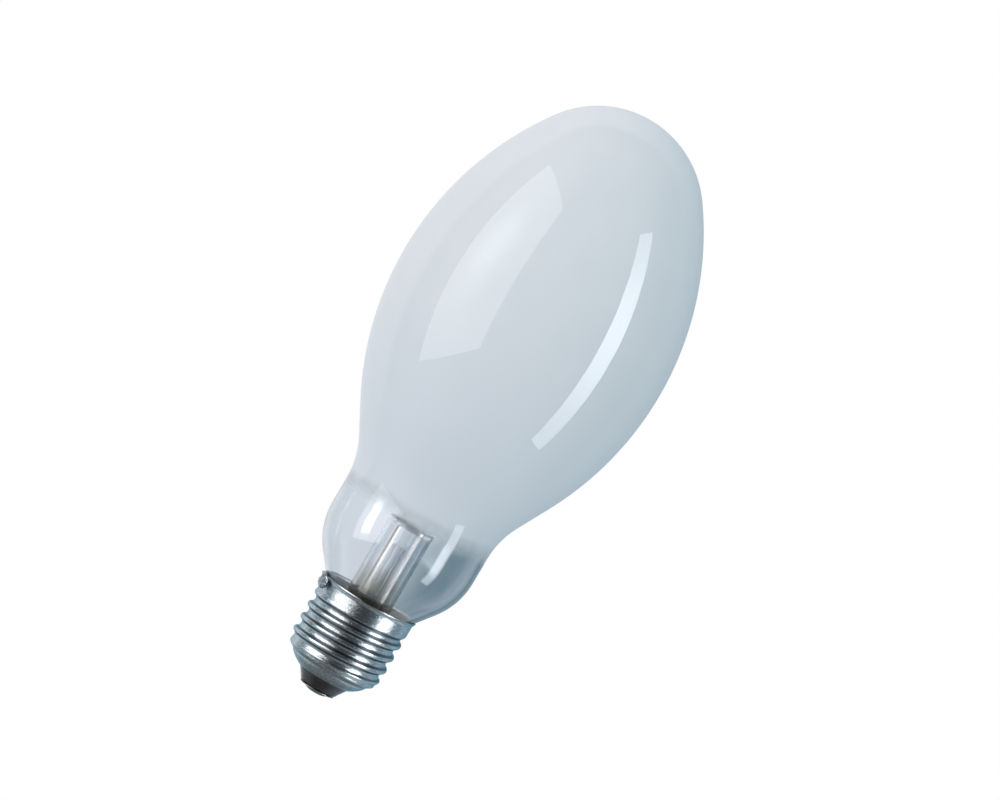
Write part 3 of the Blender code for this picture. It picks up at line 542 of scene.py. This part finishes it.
def makeThreadTree():
    # Rolls a round thread into a turned wall, outside and inside alike
    sizes = ("Crest Radius", "Depth", "Pitch", "Start", "End", "Run-out", "First Crest", "Crest Share")
    tree, given, out = newTree(
        "Rolled thread", "GeometryNodeTree",
        {"Geometry": "Geometry", **dict.fromkeys(sizes, "Float"), "Material": "Material"},
        {"Geometry": "Geometry"})
    add, subtract, multiply, divide = sumsOf(tree)
    depth, pitch, crestShare = given["Depth"], given["Pitch"], given["Crest Share"]
    x, y, z = partsOf(tree, tree.nodes.new("GeometryNodeInputPosition").outputs[0])
    radius = lengthOf(tree, x, y)
    turned = divide(subtract(mathNode(tree, "ARCTAN2", y, x), halfTurn), fullTurn)
    above = subtract(subtract(z, given["First Crest"]), multiply(turned, pitch))
    # The section is two round arcs that touch on the flank, the root's the wider
    half = multiply(pitch, 0.5)
    bothArcs = divide(add(multiply(half, half), multiply(depth, depth)), multiply(depth, 2.0))
    crestArc = multiply(bothArcs, crestShare)
    rootArc = subtract(bothArcs, crestArc)
    turnsAdded = 100.5  # keeps the share of a turn positive, and a half at each crest
    turnShare = mathNode(tree, "FRACT", add(divide(above, pitch), turnsAdded))
    fromCrest = multiply(mathNode(tree, "ABSOLUTE", subtract(turnShare, 0.5)), pitch)
    fromRoot = subtract(half, fromCrest)
    crestSunk = subtract(crestArc, arcHeight(tree, crestArc, fromCrest))
    rootRaised = subtract(rootArc, arcHeight(tree, rootArc, fromRoot))
    nearCrest = mathNode(tree, "LESS_THAN", fromCrest, multiply(half, crestShare))
    sunk = blendValues(tree, nearCrest, subtract(depth, rootRaised), crestSunk)
    inset = put(tree, "GeometryNodeInputNamedAttribute", Name="inset").outputs[0]
    rolled = subtract(subtract(given["Crest Radius"], sunk), inset)
    starts = ramp(tree, z, given["Start"], add(given["Start"], given["Run-out"]))
    ends = ramp(tree, z, given["End"], subtract(given["End"], given["Run-out"]))
    scale = divide(multiply(subtract(rolled, radius), multiply(starts, ends)), radius)
    move = put(tree, "ShaderNodeCombineXYZ", X=multiply(x, scale), Y=multiply(y, scale)).outputs[0]
    shifted = put(tree, "GeometryNodeSetPosition", Geometry=given["Geometry"], Offset=move).outputs[0]
    real = put(tree, "GeometryNodeRealizeInstances", Geometry=shifted).outputs[0]
    dressed = put(tree, "GeometryNodeSetMaterial", Geometry=real, Material=given["Material"]).outputs[0]
    tree.links.new(dressed, out[0])
    return tree


def applyTree(piece, tree, values):
    modifier = piece.modifiers.new(tree.name, "NODES")
    modifier.node_group = tree
    for item in tree.interface.items_tree:
        if item.item_type == "SOCKET" and item.in_out == "INPUT" and item.name in values:
            modifier[item.identifier] = values[item.name]
    evaluate(piece)


def cutBox(piece, low, high, azimuth):
    around = ((low[0], low[1]), (high[0], low[1]), (high[0], high[1]), (low[0], high[1]))
    turn = Matrix.Rotation(azimuth, 3, "Z")
    cutter = loftedPiece("cutter", [[turn @ Vector((x, y, z)) for x, y in around] for z in (low[2], high[2])])
    difference = piece.modifiers.new("notch", "BOOLEAN")
    difference.operation = "DIFFERENCE"
    difference.solver = "EXACT"
    difference.object = cutter
    evaluate(piece)
    bpy.data.objects.remove(cutter)


def makeShell():
    outside = plainShellOutline()
    inside = movedOutline(outside, cap["sheet"])
    lip = [(rimRadius - cap["sheet"] * share, rimZ) for share in cap["lipShares"]]
    shell = turnedPiece("capShell", outside + lip + inside[::-1], cap["sides"], looped=True,
                        crease=cap["crease"])
    inset = shell.data.attributes.new("inset", "FLOAT", "POINT")
    outerCount = len(outside) * cap["sides"]
    for i, value in enumerate(inset.data):
        value.value = 0.0 if i < outerCount else cap["sheet"]
    half, margin = cap["notchWidth"] / 2, cap["notchMargin"]
    low = (crestRadius - 2 * margin, -half, rimZ - cap["notchDepth"])
    high = (rimRadius + margin, half, rimZ + margin)
    cutBox(shell, low, high, cap["notchAzimuth"])
    applyTree(shell, makeThreadTree(), {
        "Crest Radius": crestRadius, "Depth": cap["threadDepth"], "Pitch": cap["pitch"], "Start": threadZ,
        "End": collarZ, "Run-out": cap["runOut"], "First Crest": threadZ + cap["phase"],
        "Crest Share": cap["crestShare"], "Material": materials["nickelPlate"]})
    shadeSmooth(shell.data, cap["crease"])
    keep(shell, materials["nickelPlate"], "nickel", "cap_shell")


makeShell()
print("screw shell rolled")


# Contact end

contact = dict(sides=96, skirtFoot=5.3 * mm, skirtTop=7.25 * mm, skirtEdge=0.4 * mm, skirtRows=0.4 * mm,
               plateRadius=4.9 * mm, plateThick=0.3 * mm, plateRows=0.5 * mm, plateEdgeRows=0.1 * mm,
               eyelet=1.7 * mm, eyeletHeight=4.3 * mm, plugShare=1 / 3, solderSides=48, solderFlat=1.8 * mm,
               solderRadius=3.7 * mm, solderRise=0.85 * mm, solderRows=0.3 * mm, solderSteps=12)
lead = dict(radius=0.3 * mm, bend=0.8 * mm, exitDrop=1.9 * mm, reach=0.65 * mm, clearance=0.4 * mm, sides=14,
            spacing=6.2 * mm)
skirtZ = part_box("cap_insulator")[0].z
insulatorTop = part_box("cap_insulator")[1].z
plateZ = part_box("contact_plate")[0].z


def makeInsulator():
    bore = contact["eyelet"] + gap
    edge, foot, top = contact["skirtEdge"], contact["skirtFoot"], contact["skirtTop"]
    shell = [p for p in movedOutline(plainShellOutline(), cap["sheet"] + cap["seam"]) if p[1] < threadZ]
    riser = footZ + cap["sheet"] + cap["seam"]
    outline = joinedOutline(
        [(bore, skirtZ)], arcPoints((foot - edge, skirtZ + edge), edge, -quarterTurn, 0, edge / 5),
        linePoints((foot, skirtZ + edge), (top, footZ), contact["skirtRows"]), [(top, riser)],
        [p for p in shell if riser < p[1] < insulatorTop],
        [(radiusAt(shell, insulatorTop), insulatorTop), (bore, insulatorTop)])
    piece = turnedPiece("insulator", outline, contact["sides"], looped=True)
    keep(piece, materials["blackGlaze"], "black_glass", "cap_insulator")


def makeContact():
    thick, wide, eyelet = contact["plateThick"], contact["plateRadius"], contact["eyelet"]
    tube = eyelet - thick
    eyeletTop = plateZ + contact["eyeletHeight"]
    outline = joinedOutline(
        [(tube, plateZ)], linePoints((tube, plateZ), (wide - thick, plateZ), contact["plateRows"]),
        arcPoints((wide - thick / 2, plateZ + thick / 2), thick / 2, -quarterTurn, quarterTurn,
                  contact["plateEdgeRows"]),
        [(eyelet, plateZ + thick), (eyelet, eyeletTop), (tube, eyeletTop)])
    plate = turnedPiece("contactPlate", outline, contact["sides"], looped=True)
    keep(plate, materials["tinnedBrass"], "brass", "contact_plate")

    # The solder rises as a plug into the eyelet, round a pocket for the lead
    flat, wide, under = contact["solderFlat"], contact["solderRadius"], contact["solderRise"]
    plug, pocket = tube - gap, lead["radius"] + gap
    plugTop = plateZ + contact["eyeletHeight"] * contact["plugShare"]
    shares = [i / contact["solderSteps"] for i in range(contact["solderSteps"] + 1)]
    outline = joinedOutline(
        linePoints((0, 0), (flat, 0), contact["solderRows"]),
        [(flat + (wide - flat) * share, under * share ** 2) for share in shares],
        [(plug, under), (plug, plugTop), (pocket, plugTop), (pocket, plateZ), (0, plateZ)])
    solder = turnedPiece("contactSolder", outline, contact["solderSides"])
    keep(solder, materials["castSolder"], "solder", "contact_solder")


makeInsulator()
makeContact()
print("contact end made")


# Cement, in the ring between the shell and the neck

cement = dict(sides=160, belowRim=0.35 * mm, belowCollar=0.55 * mm, seam=0.06 * mm, glassRows=0.4 * mm,
              topRows=0.1 * mm, rough=0.22 * mm, lumpScale=700, grainScale=2400, grainShare=0.5)


def makeCement():
    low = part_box("cap_cement")[0].z
    high = rimZ - cement["belowRim"]
    seam = cement["seam"]
    glass = bulbOutline(-seam, cement["glassRows"])
    inner = [p for p in glass if low < p[1] < high]
    shell = [p for p in movedOutline(plainShellOutline(), cap["sheet"] + seam) if collarZ < p[1] < high]
    wall = insideRoots - seam
    topRow = linePoints((radiusAt(shell, high), high), (radiusAt(glass, high), high), cement["topRows"])
    outline = joinedOutline(
        [(radiusAt(glass, low), low), (wall, low), (wall, collarZ - cement["belowCollar"])],
        shell, topRow, inner[::-1])
    ring = turnedPiece("capCement", outline, cement["sides"], looped=True)
    for vert in ring.data.vertices:  # its edge is uneven
        if vert.co.z > high - cement["rough"]:
            lump = (noise.noise(vert.co * cement["lumpScale"])
                    + cement["grainShare"] * noise.noise(vert.co * cement["grainScale"]))
            vert.co.z -= cement["rough"] * (1 + lump)
    keep(ring, materials["bakedCement"], "cement", "cap_cement")


makeCement()
print("cement made")


# Stem: a flared tube fused to the neck, pinched to a low flat dome on the wires at its top

stem = dict(sides=72, rows=5, radius=6.3 * mm, wall=1.2 * mm, flangeThick=1.2 * mm, skirtRise=5.3 * mm,
            skirtEase=0.5 * mm, skirtInside=(1.5, 1.0, 0.45), skirtOutside=(0.6, 1.1, 2.0),
            domeHeight=1.9 * mm, domeAngles=(0, 22, 45, 66, 84), flatness=5.4 / 8.6, waviness=0.12 * mm,
            waveScale=500, waveFoot=1.0 * mm, waveTop=0.3 * mm)
exhaust = dict(sides=40, radius=2.0 * mm, wall=0.7 * mm, lift=2.0 * mm, endLength=3.0 * mm, boreEnd=1.2 * mm,
               rows=1.0 * mm, endSteps=10, boreSteps=8)


def ovalRing(halfWidth, halfThick, z):
    turns = (fullTurn * i / stem["sides"] for i in range(stem["sides"]))
    return [Vector((halfWidth * math.cos(turn), halfThick * math.sin(turn), z)) for turn in turns]


def smoothRows(keys, rows):
    # Rows between key sizes along a curve that passes through every key
    made = []
    for i in range(len(keys) - 1):
        nearby = [keys[min(max(k, 0), len(keys) - 1)] for k in (i - 1, i, i + 1, i + 2)]
        for step in range(rows):
            t = step / rows
            made.append(tuple(0.5 * (2 * b + (c - a) * t + (2 * a - 5 * b + 4 * c - d) * t * t
                                     + (3 * b - a - 3 * c + d) * t ** 3) for a, b, c, d in zip(*nearby)))
    return made + [keys[-1]]


def makeStem():
    radius, wall, rise, ease = (stem[key] for key in ("radius", "wall", "skirtRise", "skirtEase"))
    inner = radius - wall
    domeZ = pressTop - stem["domeHeight"]
    flangeTop = flangeZ + stem["flangeThick"]
    insideNeck = neckRadius - bulb["wall"] - gap

    def domeKeys(size, height):  # from a round tube to a flat top
        keys = []
        for turn in (math.radians(angle) for angle in stem["domeAngles"]):
            width = size * math.cos(turn)
            flat = 1 - (1 - stem["flatness"]) * smoothStep(math.sin(turn))
            keys.append((width, width * flat, domeZ + height * math.sin(turn)))
        return keys

    def roundKeys(*sizes):
        return [(size, size, z) for size, z in sizes]

    # Down the inside, round the flange and up the outside
    inside = [flangeZ + rise * share for share in stem["skirtInside"]]
    outside = [flangeZ + rise * share for share in stem["skirtOutside"]]
    innerKeys = domeKeys(inner, stem["domeHeight"] - wall)[::-1] + roundKeys(
        (inner, domeZ - wall), (inner, inside[0]), (inner, inside[1]), (inner + ease, inside[2]),
        (neckRadius - wall, flangeZ))
    flange = roundKeys((neckRadius, flangeZ), (neckRadius, flangeTop), (insideNeck, flangeTop))
    outerKeys = roundKeys(
        (radius + ease, outside[0]), (radius, outside[1]), (radius, outside[2]),
        (radius, domeZ - wall)) + domeKeys(radius, stem["domeHeight"])
    keys = smoothRows(innerKeys, stem["rows"]) + flange + smoothRows(outerKeys, stem["rows"])
    piece = loftedPiece("stemGlass", [ovalRing(*key) for key in keys], crease=60)
    for vert in piece.data.vertices:  # the pinched glass is uneven
        share = (smoothStep((vert.co.z - domeZ) / stem["waveFoot"])
                 * smoothStep((pressTop - vert.co.z) / stem["waveTop"]))
        vert.co.z += share * stem["waviness"] * noise.noise(vert.co * stem["waveScale"])
    keep(piece, stemGlass, "clear_glass", "stem_glass")


def makeExhaust():
    low, high = flangeZ + exhaust["lift"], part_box("exhaust_tube")[1].z
    tube, bore = exhaust["radius"], exhaust["radius"] - exhaust["wall"]
    length, boreEnd, rows = exhaust["endLength"], exhaust["boreEnd"], exhaust["rows"]
    endTurns, boreTurns = ([quarterTurn * i / steps for i in range(steps + 1)]
                           for steps in (exhaust["endSteps"], exhaust["boreSteps"]))
    outline = joinedOutline(
        [(tube * math.sin(turn), low + length * (1 - math.cos(turn))) for turn in endTurns],
        linePoints((tube, low + length), (tube, high), rows), [(bore, high)],
        linePoints((bore, high), (bore, low + length), rows),
        [(bore * math.cos(turn), low + length - boreEnd * math.sin(turn)) for turn in boreTurns])
    keep(turnedPiece("exhaustTube", outline, exhaust["sides"]), stemGlass, "clear_glass", "exhaust_tube")


makeStem()
makeExhaust()
print("stem and exhaust tube made")


# Lead wires, along the routes of the solid ones

def makeLead(name, corners, node):
    wire = wirePiece(name, bentRoute(corners, lead["bend"]), lead["radius"], lead["sides"])
    keep(wire, materials["copperWire"], "copper", node)


def makeLeads():
    x = lead["spacing"] / 2
    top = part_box("shell_lead")[1].z
    underFlange = flangeZ - lead["radius"] - lead["clearance"]
    besideNeck = (insideRoots + neckRadius) / 2
    exitZ = rimZ - lead["exitDrop"]
    nearRim = collarRadius - cap["sheet"] - lead["radius"] - lead["clearance"] / 2
    azimuth = cap["notchAzimuth"]
    makeLead("shellLead", [
        (-x, 0, top), (-x, 0, underFlange), polar(besideNeck, azimuth, underFlange),
        polar(besideNeck, azimuth, flareZ - lead["bend"]), polar(nearRim, azimuth, exitZ),
        polar(collarRadius + lead["reach"], azimuth, exitZ)], "shell_lead")
    makeLead("contactLead", [
        (x, 0, top), (x, 0, flangeZ + exhaust["lift"]), (0, 0, threadZ + lead["clearance"]),
        (0, 0, plateZ + gap)], "contact_lead")


makeLeads()
print("leads made")


# Solder that holds the shell lead on the rim

lump = dict(halfAngle=math.radians(17), halfHeight=2.2 * mm, thick=1.1 * mm, drop=1.5 * mm, seat=0.05 * mm,
            belowCollar=1.0 * mm, slices=44, frontSteps=30, backSteps=8, swell=0.8, swellNoise=0.5,
            swellScale=(3.1, 2.3), swellPlace=3.7)
# A dark patch on the collar, beside the solder on the rim
rimDarkPatch = dict(azimuth=math.radians(216), drop=1.2 * mm, core=0.4 * mm, reach=2.1 * mm, noiseScale=900.0,
            noiseReach=1.4 * mm, colour=(0.035, 0.032, 0.030))
# Painted shade: steep faces of the shell from the thread up are darkened towards this colour
paintedFlankShade = dict(tilt=(0.44, 0.82), ease=0.4 * mm, colour=(0.19, 0.205, 0.21))


def stainShell():
    # A dark patch on the collar beside the solder, and painted shade on the steep flanks where the thread was
    # rolled and on the rim above it
    tree = materials["nickelPlate"].node_tree
    baseColour = tree.nodes["Principled BSDF"].inputs["Base Color"]
    point = objectPoint(tree)
    stain = polar(collarRadius, rimDarkPatch["azimuth"], rimZ - rimDarkPatch["drop"])
    blur = centred(tree, noiseOf(tree, point, rimDarkPatch["noiseScale"], 2), rimDarkPatch["noiseReach"])
    away = mathNode(tree, "ADD", vectorNode(tree, "DISTANCE", point, stain), blur)
    unmarked = ramp(tree, away, rimDarkPatch["core"], rimDarkPatch["reach"])
    # Painted shade: faces that tilt steeply up or down, from the thread's start upwards, are darkened
    normal = tree.nodes.new("ShaderNodeNewGeometry").outputs["Normal"]
    tilt = mathNode(tree, "ABSOLUTE", partsOf(tree, normal)["Z"])
    onThread = ramp(tree, partsOf(tree, point)["Z"], threadZ - paintedFlankShade["ease"],
                    threadZ + paintedFlankShade["ease"])
    flankShade = mathNode(tree, "MULTIPLY", ramp(tree, tilt, *paintedFlankShade["tilt"]), onThread)
    flankShadedColour = blendColours(tree, flankShade, baseColour.links[0].from_socket, paintedFlankShade["colour"])
    feed(tree, baseColour, blendColours(tree, unmarked, rimDarkPatch["colour"], flankShadedColour))


def makeRimSolder():
    outside = [p for p in plainShellOutline() if p[1] > collarZ - lump["belowCollar"]]
    middle = rimZ - lump["drop"]
    rings = []
    for i in range(1, lump["slices"]):
        across = 2 * i / lump["slices"] - 1
        size = math.sqrt(1 - across ** 2)
        azimuth = cap["notchAzimuth"] + lump["halfAngle"] * across
        ring = []
        for step in range(lump["frontSteps"] + 1):
            turn = halfTurn * (step / lump["frontSteps"] - 0.5)
            z = middle + lump["halfHeight"] * size * math.sin(turn)
            place = Vector((across * lump["swellScale"][0], math.sin(turn) * lump["swellScale"][1],
                            lump["swellPlace"]))
            swell = min(lump["swell"] + lump["swellNoise"] * noise.noise(place), 1)
            seat = radiusAt(outside, min(max(z, collarZ), rimZ)) + lump["seat"]
            ring.append(polar(seat + lump["thick"] * size * math.cos(turn) * swell, azimuth, z))
        for step in range(1, lump["backSteps"]):
            z = middle + lump["halfHeight"] * size * (1 - 2 * step / lump["backSteps"])
            ring.append(polar(radiusAt(outside, min(max(z, collarZ), rimZ)) + lump["seat"] / 2, azimuth, z))
        rings.append(ring)
    piece = loftedPiece("rimSolder", rings, crease=60)
    keep(piece, materials["castSolder"], "solder", "rim_solder")


stainShell()
makeRimSolder()
print("rim solder made")


# Inside the coating: the solids stay, with their finishes

carried = dict(
    drawnSteel=("short_post", "frame_rod", "lower_strap", "upper_guide", "getter_arm_1", "getter_arm_2"),
    nickelStrip=("expansion_strap", "getter_ring_1", "getter_ring_2"),
    sinteredAlumina=("arc_tube",),
    niobiumTube=("lower_feedthrough", "upper_feedthrough", "lower_heat_band", "upper_heat_band"),
    tungstenWire=("lower_electrode", "upper_electrode", "starting_wire"),
    sealFrit=("lower_seal", "upper_seal"))
for finish, nodes in carried.items():
    for node in nodes:
        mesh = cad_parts[node].data
        mesh.materials.clear()
        mesh.materials.append(materials[finish])
print("inner pieces dressed")


# Studio: pale floor, a softbox on the left, a strip on the right and a glowing graded card behind the clear
# glass that paints light and shade into it

lampMiddle = Vector((0, 0, 0.09547))

# Corners, hot places and reaches are sideways and up from the middle of the panel
softbox = dict(azimuth=math.radians(-55), distance=0.6, colour=(0.97, 1.0, 1.03), light=1.95, hot=1.9,
               corners=((-0.30, 0.60), (0.27, 0.55), (0.345, -0.20), (-0.18, -0.32)),
               hotPlace=(-0.03, 0.18), hotReach=(0.21, 0.31))
strip = dict(azimuth=math.radians(62.4), distance=0.6, colour=(0.95, 1.0, 1.05), light=3.8, hot=4.2,
             corners=((-0.070, 0.565), (0.092, 0.565), (0.075, -0.387), (-0.075, -0.387)),
             hotPlace=(0.0, 0.12), hotReach=(0.5, 0.46))
# Glowing card behind the neck, seen only through the glass: painted light on its left, painted shade on its
# right
shadeCard = dict(distance=0.09, drop=0.06, halfWidth=0.12, halfHeight=0.2, left=(0.70, 0.74, 0.80),
            right=(0.10, 0.18, 0.23), shadeSpan=(-0.007, 0.019))


def makePanel(name, corners, seenBy):
    # A glowing sheet that only the named kinds of ray see
    bm = bmesh.new()
    bm.faces.new([bm.verts.new(corner) for corner in corners])
    panel = linkedMesh(bm, name)
    material = bpy.data.materials.new(name + "Cloth")
    material.use_nodes = True
    tree = material.node_tree
    tree.nodes.clear()
    glow = put(tree, "ShaderNodeEmission", Strength=1.0)
    put(tree, "ShaderNodeOutputMaterial", Surface=glow.outputs[0])
    panel.data.materials.append(material)
    for kind in ("camera", "diffuse", "glossy", "transmission", "volume_scatter", "shadow"):
        setattr(panel, "visible_" + kind, kind in seenBy)
    return tree, glow


def makeLightPanel(name, look):
    # Upright cloth facing the lamp, brightest about one place and seen only in reflections
    out = Vector((math.sin(look["azimuth"]), -math.cos(look["azimuth"]), 0))
    side = Vector((-out.y, out.x, 0))
    centre = out * look["distance"] + lampMiddle
    tree, glow = makePanel(name, [centre + side * u + Vector((0, 0, z)) for u, z in look["corners"]],
                           ("glossy", "transmission"))
    _, subtract, _, divide = sumsOf(tree)
    point = tree.nodes.new("ShaderNodeTexCoord").outputs["Object"]
    hotU, hotZ = look["hotPlace"]
    reachU, reachZ = look["hotReach"]
    across = divide(subtract(vectorNode(tree, "DOT_PRODUCT", point, side), hotU), reachU)
    upwards = divide(subtract(partsOf(tree, point)["Z"], centre.z + hotZ), reachZ)
    light = ramp(tree, lengthOf(tree, across, upwards), 0.0, 1.0, look["light"] + look["hot"], look["light"])
    feedAll(tree, glow, Color=look["colour"], Strength=light)


def makeShadeCard():
    # Seen only through the clear glass of the neck, glowing pale on its left and dark on its right: painted
    # light and painted shade in the glass
    middle = lampMiddle.z - shadeCard["drop"]
    corners = [(shadeCard["halfWidth"] * x, shadeCard["distance"], middle + shadeCard["halfHeight"] * z)
               for x, z in ((-1, -1), (1, -1), (1, 1), (-1, 1))]
    tree, glow = makePanel("paintedShadeCard", corners, ("transmission",))
    shade = ramp(tree, partsOf(tree, objectPoint(tree))["X"], *shadeCard["shadeSpan"])
    feedAll(tree, glow, Color=blendColours(tree, shade, shadeCard["left"], shadeCard["right"]))


# Light from all round: fill for matt surfaces, and what polished ones and the glass see

sky = dict(  # a span is where one colour or level passes into the next
    seen=(1.0, 1.0, 1.0), throughGlass=(0.55, 0.60, 0.66),
    fill=(1.18, 1.18, 1.195), fillDark=(0.51, 0.65, 0.70), fillSpan=(-0.4, 1.1),
    level=(0.955, 1.045), levelSpan=(-0.8, 0.8), behind=0.72, behindSpan=(-0.3, 0.9), left=0.94,
    leftSpan=(-1.0, -0.2),
    front=(0.045, 0.056, 0.060), side=(0.16, 0.245, 0.29), sideSpan=(0.25, 0.95),
    backLeft=(0.78, 0.81, 0.85), backRight=(0.38, 0.49, 0.58), acrossSpan=(-0.3, 0.3), backSpan=(0.2, 0.42),
    below=(0.16, 0.18, 0.185), belowSide=(0.50, 0.61, 0.67), belowSideSpan=(0.2, 0.8),
    belowSpan=(-0.35, -0.75))


def makeWorld():
    world = bpy.data.worlds.new("studioWorld")
    scene.world = world
    world.use_nodes = True
    world.cycles.sampling_method = "NONE"
    tree = world.node_tree
    tree.nodes.clear()
    add, subtract, multiply, _ = sumsOf(tree)
    x, y, z = partsOf(tree, tree.nodes.new("ShaderNodeTexCoord").outputs["Generated"])
    aside = mathNode(tree, "ABSOLUTE", x)
    path = tree.nodes.new("ShaderNodeLightPath").outputs

    def blendAlong(part, span, first, second):
        return blendColours(tree, ramp(tree, part, *sky[span]), first, second)

    fill = blendAlong(x, "fillSpan", sky["fill"], sky["fillDark"])
    front = blendAlong(aside, "sideSpan", sky["front"], sky["side"])
    back = blendAlong(x, "acrossSpan", sky["backLeft"], sky["backRight"])
    below = blendAlong(aside, "belowSideSpan", sky["below"], sky["belowSide"])
    polished = blendAlong(z, "belowSpan", blendAlong(y, "backSpan", front, back), below)
    colour = blendColours(tree, path["Is Glossy Ray"], sky["seen"], polished)
    inGlass = mathNode(tree, "GREATER_THAN", path["Transmission Depth"], 0.5)
    colour = blendColours(tree, inGlass, colour, sky["throughGlass"])
    colour = blendColours(tree, path["Is Diffuse Ray"], colour, fill)
    level = multiply(ramp(tree, z, *sky["levelSpan"], *sky["level"]),
                     ramp(tree, y, *sky["behindSpan"], 1.0, sky["behind"]))
    level = multiply(level, ramp(tree, x, *sky["leftSpan"], sky["left"], 1.0))
    dimmed = multiply(path["Is Diffuse Ray"], subtract(level, 1.0))
    light = put(tree, "ShaderNodeBackground", Color=colour, Strength=add(dimmed, 1.0))
    put(tree, "ShaderNodeOutputWorld", Surface=light.outputs[0])


def makeFloor():
    radius, height = 1.6, -0.85
    bm = bmesh.new()
    bmesh.ops.create_circle(bm, cap_ends=True, segments=96, radius=radius)
    bmesh.ops.translate(bm, verts=bm.verts, vec=(0, 0, height))
    floor = linkedMesh(bm, "floor")
    material, tree, shader = newMaterial("paleFloor")
    feedAll(tree, shader, Base_Color=(0.86, 0.87, 0.88), Roughness=0.8)
    floor.data.materials.append(material)
    floor.visible_glossy = False
    floor.visible_transmission = False


# Camera: level with the lamp, rolled so that the lamp leans to the right

# The lamp's middle stands lampRight and lampUp pixels from the middle of the picture
camera = dict(distance=1.2, elevation=math.radians(4.2), lean=math.radians(30.46), sensor=36.0,
              pixelsPerMetre=3923.0, imageWidth=1000.0, lampRight=3.24, lampUp=28.595)


def makeCamera():
    elevation, lean, scale = camera["elevation"], camera["lean"], camera["pixelsPerMetre"]
    back = Vector((0, -math.cos(elevation), math.sin(elevation)))
    level = Vector((0, math.sin(elevation), math.cos(elevation)))
    right = Vector((1, 0, 0)) * math.cos(lean) + level * math.sin(lean)
    up = level * math.cos(lean) - Vector((1, 0, 0)) * math.sin(lean)
    aim = lampMiddle - (right * camera["lampRight"] + up * camera["lampUp"]) / scale
    data = bpy.data.cameras.new("camera")
    data.sensor_width = camera["sensor"]
    data.lens = scale * camera["distance"] / camera["imageWidth"] * camera["sensor"]
    viewer = bpy.data.objects.new("camera", data)
    scene.collection.objects.link(viewer)
    viewer.matrix_world = Matrix.Translation(aim + back * camera["distance"]) @ Matrix(
        (right, up, back)).transposed().to_4x4()
    scene.camera = viewer


makeCamera()
makeLightPanel("softbox", softbox)
makeLightPanel("strip", strip)
makeShadeCard()
makeWorld()
makeFloor()
scene.view_settings.view_transform = "Standard"
print("studio and camera set")
